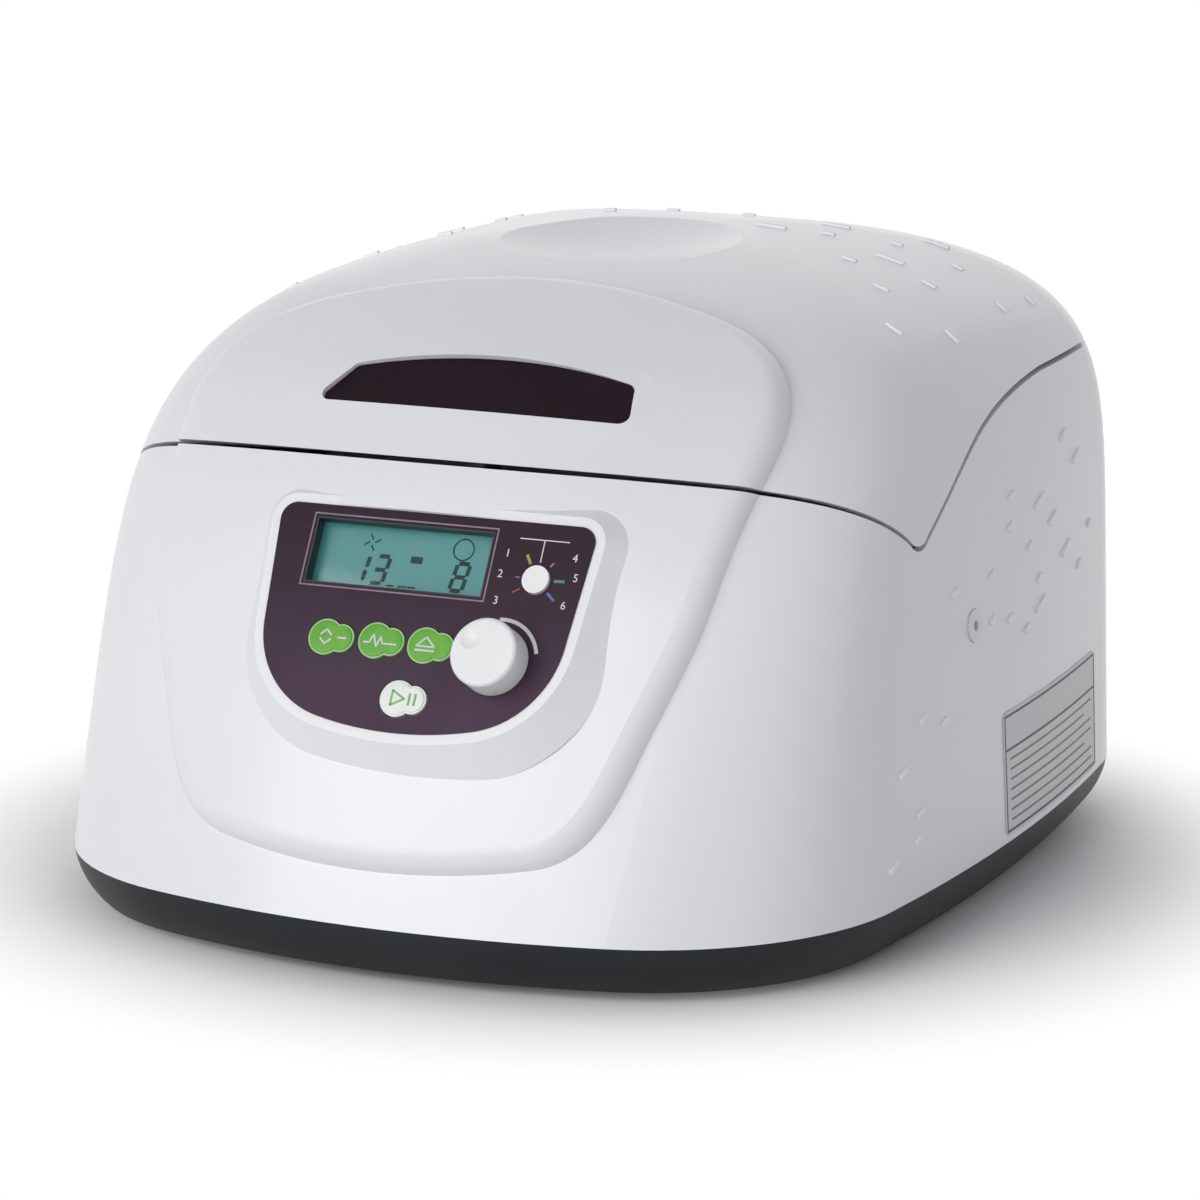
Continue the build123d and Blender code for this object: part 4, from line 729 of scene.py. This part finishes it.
def paint_window_shade():
    """Dark ring of painted shade on the display window's walls, from the lens up to the overlay's face."""
    size = tuple(side - 2 * SHADE_RING_GAP for side in DISPLAY_SIZE)
    depth = OVERLAY_FACE - LENS_FACE - 2 * SHADE_RING_GAP
    piece = frame_line((*DISPLAY_CENTRE, LENS_FACE + SHADE_RING_GAP), size, SHADE_RING_WIDTH, depth)
    settle(piece, "window_shade_ring", PANEL, "base", WINDOW_PAINTED_SHADE)


SEGMENTS = {"1": "bc", "3": "abcdg", "8": "abcdefg"}
SEGMENT_WIDTH = 1.3
SEGMENT_GAP = 0.35
DIGIT_SLANT = 0.14


def segment_digit(digit, centre, width, height):
    """Bars of one seven-segment digit."""
    half_w = width / 2 - SEGMENT_WIDTH / 2
    half_h = height / 2 - SEGMENT_WIDTH / 2
    upright = height / 2 - SEGMENT_WIDTH - SEGMENT_GAP
    level = width - 2 * SEGMENT_GAP - SEGMENT_WIDTH
    spots = {
        "a": (0, half_h, 0), "g": (0, 0, 0), "d": (0, -half_h, 0),
        "b": (half_w, half_h / 2, 1), "c": (half_w, -half_h / 2, 1),
        "f": (-half_w, half_h / 2, 1), "e": (-half_w, -half_h / 2, 1),
    }
    bars = []
    for letter in SEGMENTS[digit]:
        x, y, stands = spots[letter]
        size = (SEGMENT_WIDTH, upright, INK) if stands else (level, SEGMENT_WIDTH, INK)
        bars.append(bar((x, y, INK / 2), size, 0.02, segments=1))
    figure = join(bars)
    slant = Matrix.Identity(4)
    slant[0][1] = DIGIT_SLANT
    place = Matrix.Translation(Vector((*centre, PANEL_DEPTH_OF_DISPLAY)) * MM)
    figure.data.transform(place @ slant)
    return figure


def print_display():
    """Figures and icons on the display: two counts, a dash, a fan and a ring."""
    low = PANEL_DEPTH_OF_DISPLAY
    u, v = DISPLAY_CENTRE
    digits = (("1", -14.0, 5.0), ("3", -7.6, 5.3), ("8", 18.2, 5.3))
    pieces = [segment_digit(digit, (u + along, v - 3.1), width, 9.6) for digit, along, width in digits]
    pieces.append(bar((u + 3.4, v + 0.8, low + INK / 2), (3.8, 2.1, INK), 0.02, segments=1))
    for place in (-3.4, 0.6, 3.6):
        pieces.append(bar((u + place, v - 7.6, low + INK / 2), (2.6, 0.6, INK), 0.02, segments=1))
    for turn in range(4):
        angle = pi / 2 * turn + 0.25
        spot = (u - 12.0 + 1.75 * cos(angle), v + 5.0 + 1.75 * sin(angle), low + INK / 2)
        pieces.append(bar(spot, (2.1, 0.5, INK), 0.02, angle + 0.35, 1))
    pieces.append(ring_arc((u + 17.6, v + 5.2, low), 3.2, 0.45, INK, 0, 2 * pi, 48))
    settle(join(pieces), "display_figures", PANEL, "base", DISPLAY_INK)


KNOB_ARC_RADIUS = 12.5
KNOB_ARC_WIDTH = 1.1
KNOB_ARC_ANGLES = (radians(16), radians(97))


def print_knob_arc():
    """Pale arc beside the setting knob."""
    spot = (*KNOB_CENTRE, OVERLAY_FACE)
    arc = ring_arc(spot, KNOB_ARC_RADIUS, KNOB_ARC_WIDTH, INK, *KNOB_ARC_ANGLES, 40)
    settle(arc, "knob_arc", PANEL, "base", PRINT_WHITE)


TICKS_START = 5.4


def print_programme_dial():
    """Numbers one to six round the small dial, a bracket above it and a coloured tick for each."""
    low = OVERLAY_FACE
    u, v = DIAL_CENTRE
    labels = [
        ("1", 24.4, 24.2),
        ("2", 23.4, 17.9),
        ("3", 23.8, 9.9),
        ("4", 45.6, 24.4),
        ("5", 47.0, 18.6),
        ("6", 45.0, 10.2),
    ]
    pieces = [lettering(text, (x, y, low), 2.5, INK) for text, x, y in labels]
    pieces.append(bar((u, v + 8.6, low + INK / 2), (0.32, 6.6, INK), 0.01, segments=1))
    pieces.append(bar((u, v + 12.0, low + INK / 2), (15.6, 0.32, INK), 0.01, segments=1))
    settle(join(pieces), "dial_numbers", PANEL, "base", PRINT_WHITE)
    ticks = [
        ("yellow", 122, 3.2, 0.9),
        ("rose", 52, 1.6, 0.5),
        ("green", 2, 3.4, 0.9),
        ("blue", -40, 3.4, 0.8),
        ("red", 212, 2.6, 0.5),
        ("violet", 176, 1.4, 0.5),
    ]
    for colour, degrees, length, width in ticks:
        angle = radians(degrees)
        reach = TICKS_START + length / 2
        spot = (u + reach * cos(angle), v + reach * sin(angle), low + INK / 2)
        tick = bar(spot, (length, width, INK), 0.02, angle, 1)
        settle(tick, "dial_tick_" + colour, PANEL, "base", TICK_COLOURS[colour])


# Lobes of a key: place along it and radius of each
LARGE_LOBE = (-2.2, 5.4)
SMALL_LOBE = (2.8, 4.2)
CAP_INSET = 0.55
CAP_DEPTH = 0.4
CAP_ROUND = 0.18
CAP_SINK = 0.05


def key_cap(name, material):
    """Coloured face set in from the rim of a lobed key."""
    u, v = KEY_CENTRES[name]
    low = KEY_TOP - CAP_SINK
    large, small = (
        disc((u + along, v, low), radius - CAP_INSET, CAP_DEPTH, CAP_ROUND)
        for along, radius in (LARGE_LOBE, SMALL_LOBE)
    )
    neck_size = (5.0, 2 * (SMALL_LOBE[1] - CAP_INSET) - 0.6, CAP_DEPTH)
    neck = bar((u + 0.3, v, low + CAP_DEPTH / 2), neck_size, 0, segments=1)
    select_only(large)
    for other in (small, neck):
        union = large.modifiers.new("union", "BOOLEAN")
        union.operation = "UNION"
        union.solver = "EXACT"
        union.object = other
        bpy.ops.object.modifier_apply(modifier="union")
    for other in (small, neck):
        bpy.data.objects.remove(other)
    settle(large, name + "_cap", PANEL, name, material)


ICON_RISE = 0.34


def key_icon(name, pieces, material):
    """Moves icon bars to a key's top and joins them."""
    u, v = KEY_CENTRES[name]
    place = PANEL @ Matrix.Translation((u * MM, v * MM, (KEY_TOP + ICON_RISE) * MM))
    settle(join(pieces), name + "_icon", place, name, material)


def stroke(start, end, width):
    """Thin bar from one point to another."""
    dx = end[0] - start[0]
    dy = end[1] - start[1]
    centre = ((start[0] + end[0]) / 2, (start[1] + end[1]) / 2, INK / 2)
    return bar(centre, ((dx * dx + dy * dy) ** 0.5 + width * 0.6, width, INK), 0.02, atan2(dy, dx), 1)


def strokes(points, width):
    """Bars along a chain of points."""
    return [stroke(a, b, width) for a, b in zip(points, points[1:])]


def dress_keys():
    """Coloured caps and plain icons on the four lobed keys."""
    for name in ("select_key", "pulse_key", "open_key"):
        key_cap(name, KEY_CAP)
    key_cap("start_key", KEY_CAP_WHITE)
    arrows = strokes([(-3.6, 0.6), (-1.9, 2.2), (-0.2, 0.6)], 0.55)
    arrows += strokes([(-3.6, -0.6), (-1.9, -2.2), (-0.2, -0.6)], 0.55)
    arrows += strokes([(2.0, 0), (4.6, 0)], 0.55)
    key_icon("select_key", arrows, PRINT_WHITE)
    wave = [(-5.6, -0.8), (-3.8, -0.8), (-2.8, 1.8), (-1.4, -2.0)]
    wave += [(-0.4, 1.2), (0.4, -0.8), (4.8, -0.8)]
    key_icon("pulse_key", strokes(wave, 0.5), PRINT_WHITE)
    lift = strokes([(-4.6, -1.6), (1.2, -1.6)], 0.6)
    lift += strokes([(-4.6, -0.4), (-1.7, 2.4), (1.2, -0.4), (-4.6, -0.4)], 0.5)
    key_icon("open_key", lift, PRINT_WHITE)
    go = strokes([(-3.8, 2.2), (-3.8, -2.2), (0.2, 0), (-3.8, 2.2)], 0.6)
    go += strokes([(1.8, 1.6), (1.8, -1.6)], 0.7) + strokes([(3.6, 1.6), (3.6, -1.6)], 0.7)
    key_icon("start_key", go, PRINT_GREEN)


# Raised dashes on the lid and the flanks

# Place across and along the lid, and length
LID_DASHES = [
    (15.6, 78.8, 4), (34.7, 52.6, 9), (47.3, 75.9, 9), (51.5, 58.6, 4.5), (70.2, 30.2, 4.5),
    (76.9, 47.6, 9), (70.1, 70.8, 4), (76.1, 91.1, 8), (87.8, 12.5, 5), (93.2, 38.9, 5),
    (90.1, 72.7, 4), (102.6, -14.6, 5.5), (111.3, 11.6, 5.5), (108.7, 62.8, 4.5), (108.8, 89.3, 4),
    (-28.2, 66.1, 4), (-12.1, 80.8, 4),
]
# Place along and up the flank, and length
FLANK_DASHES = [
    (65.7, 133.3, 6), (77.3, 124.7, 8), (36.4, 117.5, 9), (48.8, 110.1, 8), (90.3, 100.8, 4),
    (61.9, 98.1, 9), (76.4, 90.1, 4), (33.2, 93.8, 4), (33.8, 85.5, 9), (11.5, 123.4, 4.5),
    (8.4, 114.3, 4), (25.1, 105.4, 4), (-8.7, 102.5, 4), (-9.6, 88.9, 4), (5, 86.5, 4),
    (20.1, 80.6, 4), (-36.9, 102.6, 4.5), (-63.3, 69.9, 4), (-48.7, 65.9, 4), (-77.5, 56.6, 5),
    (-67.6, 42.5, 4), (-70, 35.3, 4), (-86.1, 30.7, 6),
]
FLANK_DASH_RUN = (0, 0.95, 0.31)
MIRRORED_FROM_X = 60
DASH_STRETCH = 1.1
DASH_WIDTH = 1.8
DASH_HEIGHT = 1.3
DASH_LIFT = 0.15
DASH_ROUND = 0.45


def surface_of(node):
    """Lookup of the nearest hit on one solid of the frame."""
    return BVHTree.FromObject(frame["nodes"][node], bpy.context.evaluated_depsgraph_get())


def place_on(surface, start, aim, along):
    """Place where a ray meets a surface: X runs the given way along it and Z stands out of it."""
    hit, normal = surface.ray_cast(Vector(start) * MM, Vector(aim))[:2]
    if hit is None:
        return None
    if normal.dot(Vector(aim)) > 0:
        normal = -normal
    across = normal.cross(Vector(along)).normalized()
    turn = Matrix((across.cross(normal), across, normal)).transposed().to_4x4()
    return Matrix.Translation(hit) @ turn


def dash(place, length):
    """One raised dash that lies on a surface."""
    size = (length * DASH_STRETCH, DASH_WIDTH, DASH_HEIGHT)
    piece = bar((0, 0, DASH_LIFT), size, DASH_ROUND, segments=3)
    piece.data.transform(place)
    return piece


def raise_dashes():
    """Pattern of small raised dashes on the lid's crown and on both flanks."""
    lid = surface_of("lid_shell")
    shell = surface_of("body_shell")
    raised = {"lid": [], "base": []}
    mirrored = [(-x, y, length) for x, y, length in LID_DASHES if x > MIRRORED_FROM_X]
    for x, y, length in LID_DASHES + mirrored:
        raised["lid"].append(dash(place_on(lid, (x, y, 260), (0, 0, -1), (1, 0, 0)), length))
    for side in (1, -1):
        for y, z, length in FLANK_DASHES:
            ray = ((side * 220, y, z), (-side, 0, 0), FLANK_DASH_RUN)
            spots = {"base": place_on(shell, *ray), "lid": place_on(lid, *ray)}
            body = max(spots, key=lambda name: side * spots[name].translation.x if spots[name] else -1)
            raised[body].append(dash(spots[body], length))
    for body, pieces in raised.items():
        settle(join(pieces), body + "_dashes", Matrix.Identity(4), body, RAISED_PAINTED_HIGHLIGHT)


# Bare plate on the right flank

PLATE_MARGIN = 1.4
PLATE_HEADER = 10.5
PLATE_LINE = 0.8
PLATE_RULE = 0.7
PLATE_RULES = 7
PLATE_STEPS = 8


def rule_label():
    """Border, header line and empty ruled lines on the rating plate."""
    low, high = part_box("side_label")
    surface = surface_of("side_label")
    left, right = low.y / MM + PLATE_MARGIN, high.y / MM - PLATE_MARGIN
    bottom, top = low.z / MM + PLATE_MARGIN, high.z / MM - PLATE_MARGIN
    header = top - PLATE_HEADER
    runs = [((left, z), (right, z), PLATE_LINE) for z in (bottom, top, header)]
    runs += [((y, bottom), (y, top), PLATE_LINE) for y in (left, right)]
    pitch = (header - bottom) / (PLATE_RULES + 1)
    thin = []
    for i in range(PLATE_RULES):
        height = header - pitch * (i + 1)
        thin.append(((left + 4, height), (right - 5 - 9 * (i % 3 == 1), height), PLATE_RULE))
    for name, group, material in (("label_border", runs, PRINT_DARK), ("label_rules", thin, PRINT_GREY)):
        pieces = []
        for start, end, width in group:
            step = [(end[k] - start[k]) / PLATE_STEPS for k in (0, 1)]
            spots = []
            for i in range(PLATE_STEPS + 1):
                y, z = (start[k] + step[k] * i for k in (0, 1))
                spots.append(surface.ray_cast(Vector((0.22, y * MM, z * MM)), Vector((-1, 0, 0)))[0])
            pieces += [surface_stroke(a, b, width) for a, b in zip(spots, spots[1:])]
        settle(join(pieces), name, Matrix.Identity(4), "base", material)


def surface_stroke(a, b, width):
    """Thin printed bar between two points of the right flank."""
    run = (b - a).normalized()
    out = Vector((1, 0, 0)) - run * run.x
    out.normalize()
    turn = Matrix((run, out.cross(run), out)).transposed().to_4x4()
    piece = bar((0, 0, 0), ((b - a).length / MM + width * 0.9, width, 0.1), 0.02, segments=1)
    piece.data.transform(Matrix.Translation((a + b) / 2) @ turn)
    return piece


# Back of the machine

def mark_rear():
    """Line and circle marks on the mains rocker."""
    low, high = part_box("power_rocker")
    middle = (low + high) / 2 / MM
    surface = surface_of("power_rocker")
    line = bar((0, 0, 0), (0.7, 3.4, 0.12), 0.02, segments=1)
    ring = ring_arc((0, 0, -0.06), 1.6, 0.6, 0.12, 0, 2 * pi, 32)
    for mark, rise in ((line, 5.4), (ring, -5.2)):
        start = (middle.x, 220, middle.z + rise)
        mark.data.transform(place_on(surface, start, (0, -1, 0), (-1, 0, 0)))
    marks = join([line, ring])
    settle(marks, "rocker_marks", Matrix.Identity(4), "power_rocker", PRINT_WHITE)


dress_frame()
print_display_frame()
paint_window_shade()
print_display()
print_knob_arc()
print_programme_dial()
dress_keys()
raise_dashes()
rule_label()
mark_rear()
aim_camera()
light_studio()
lay_floor()
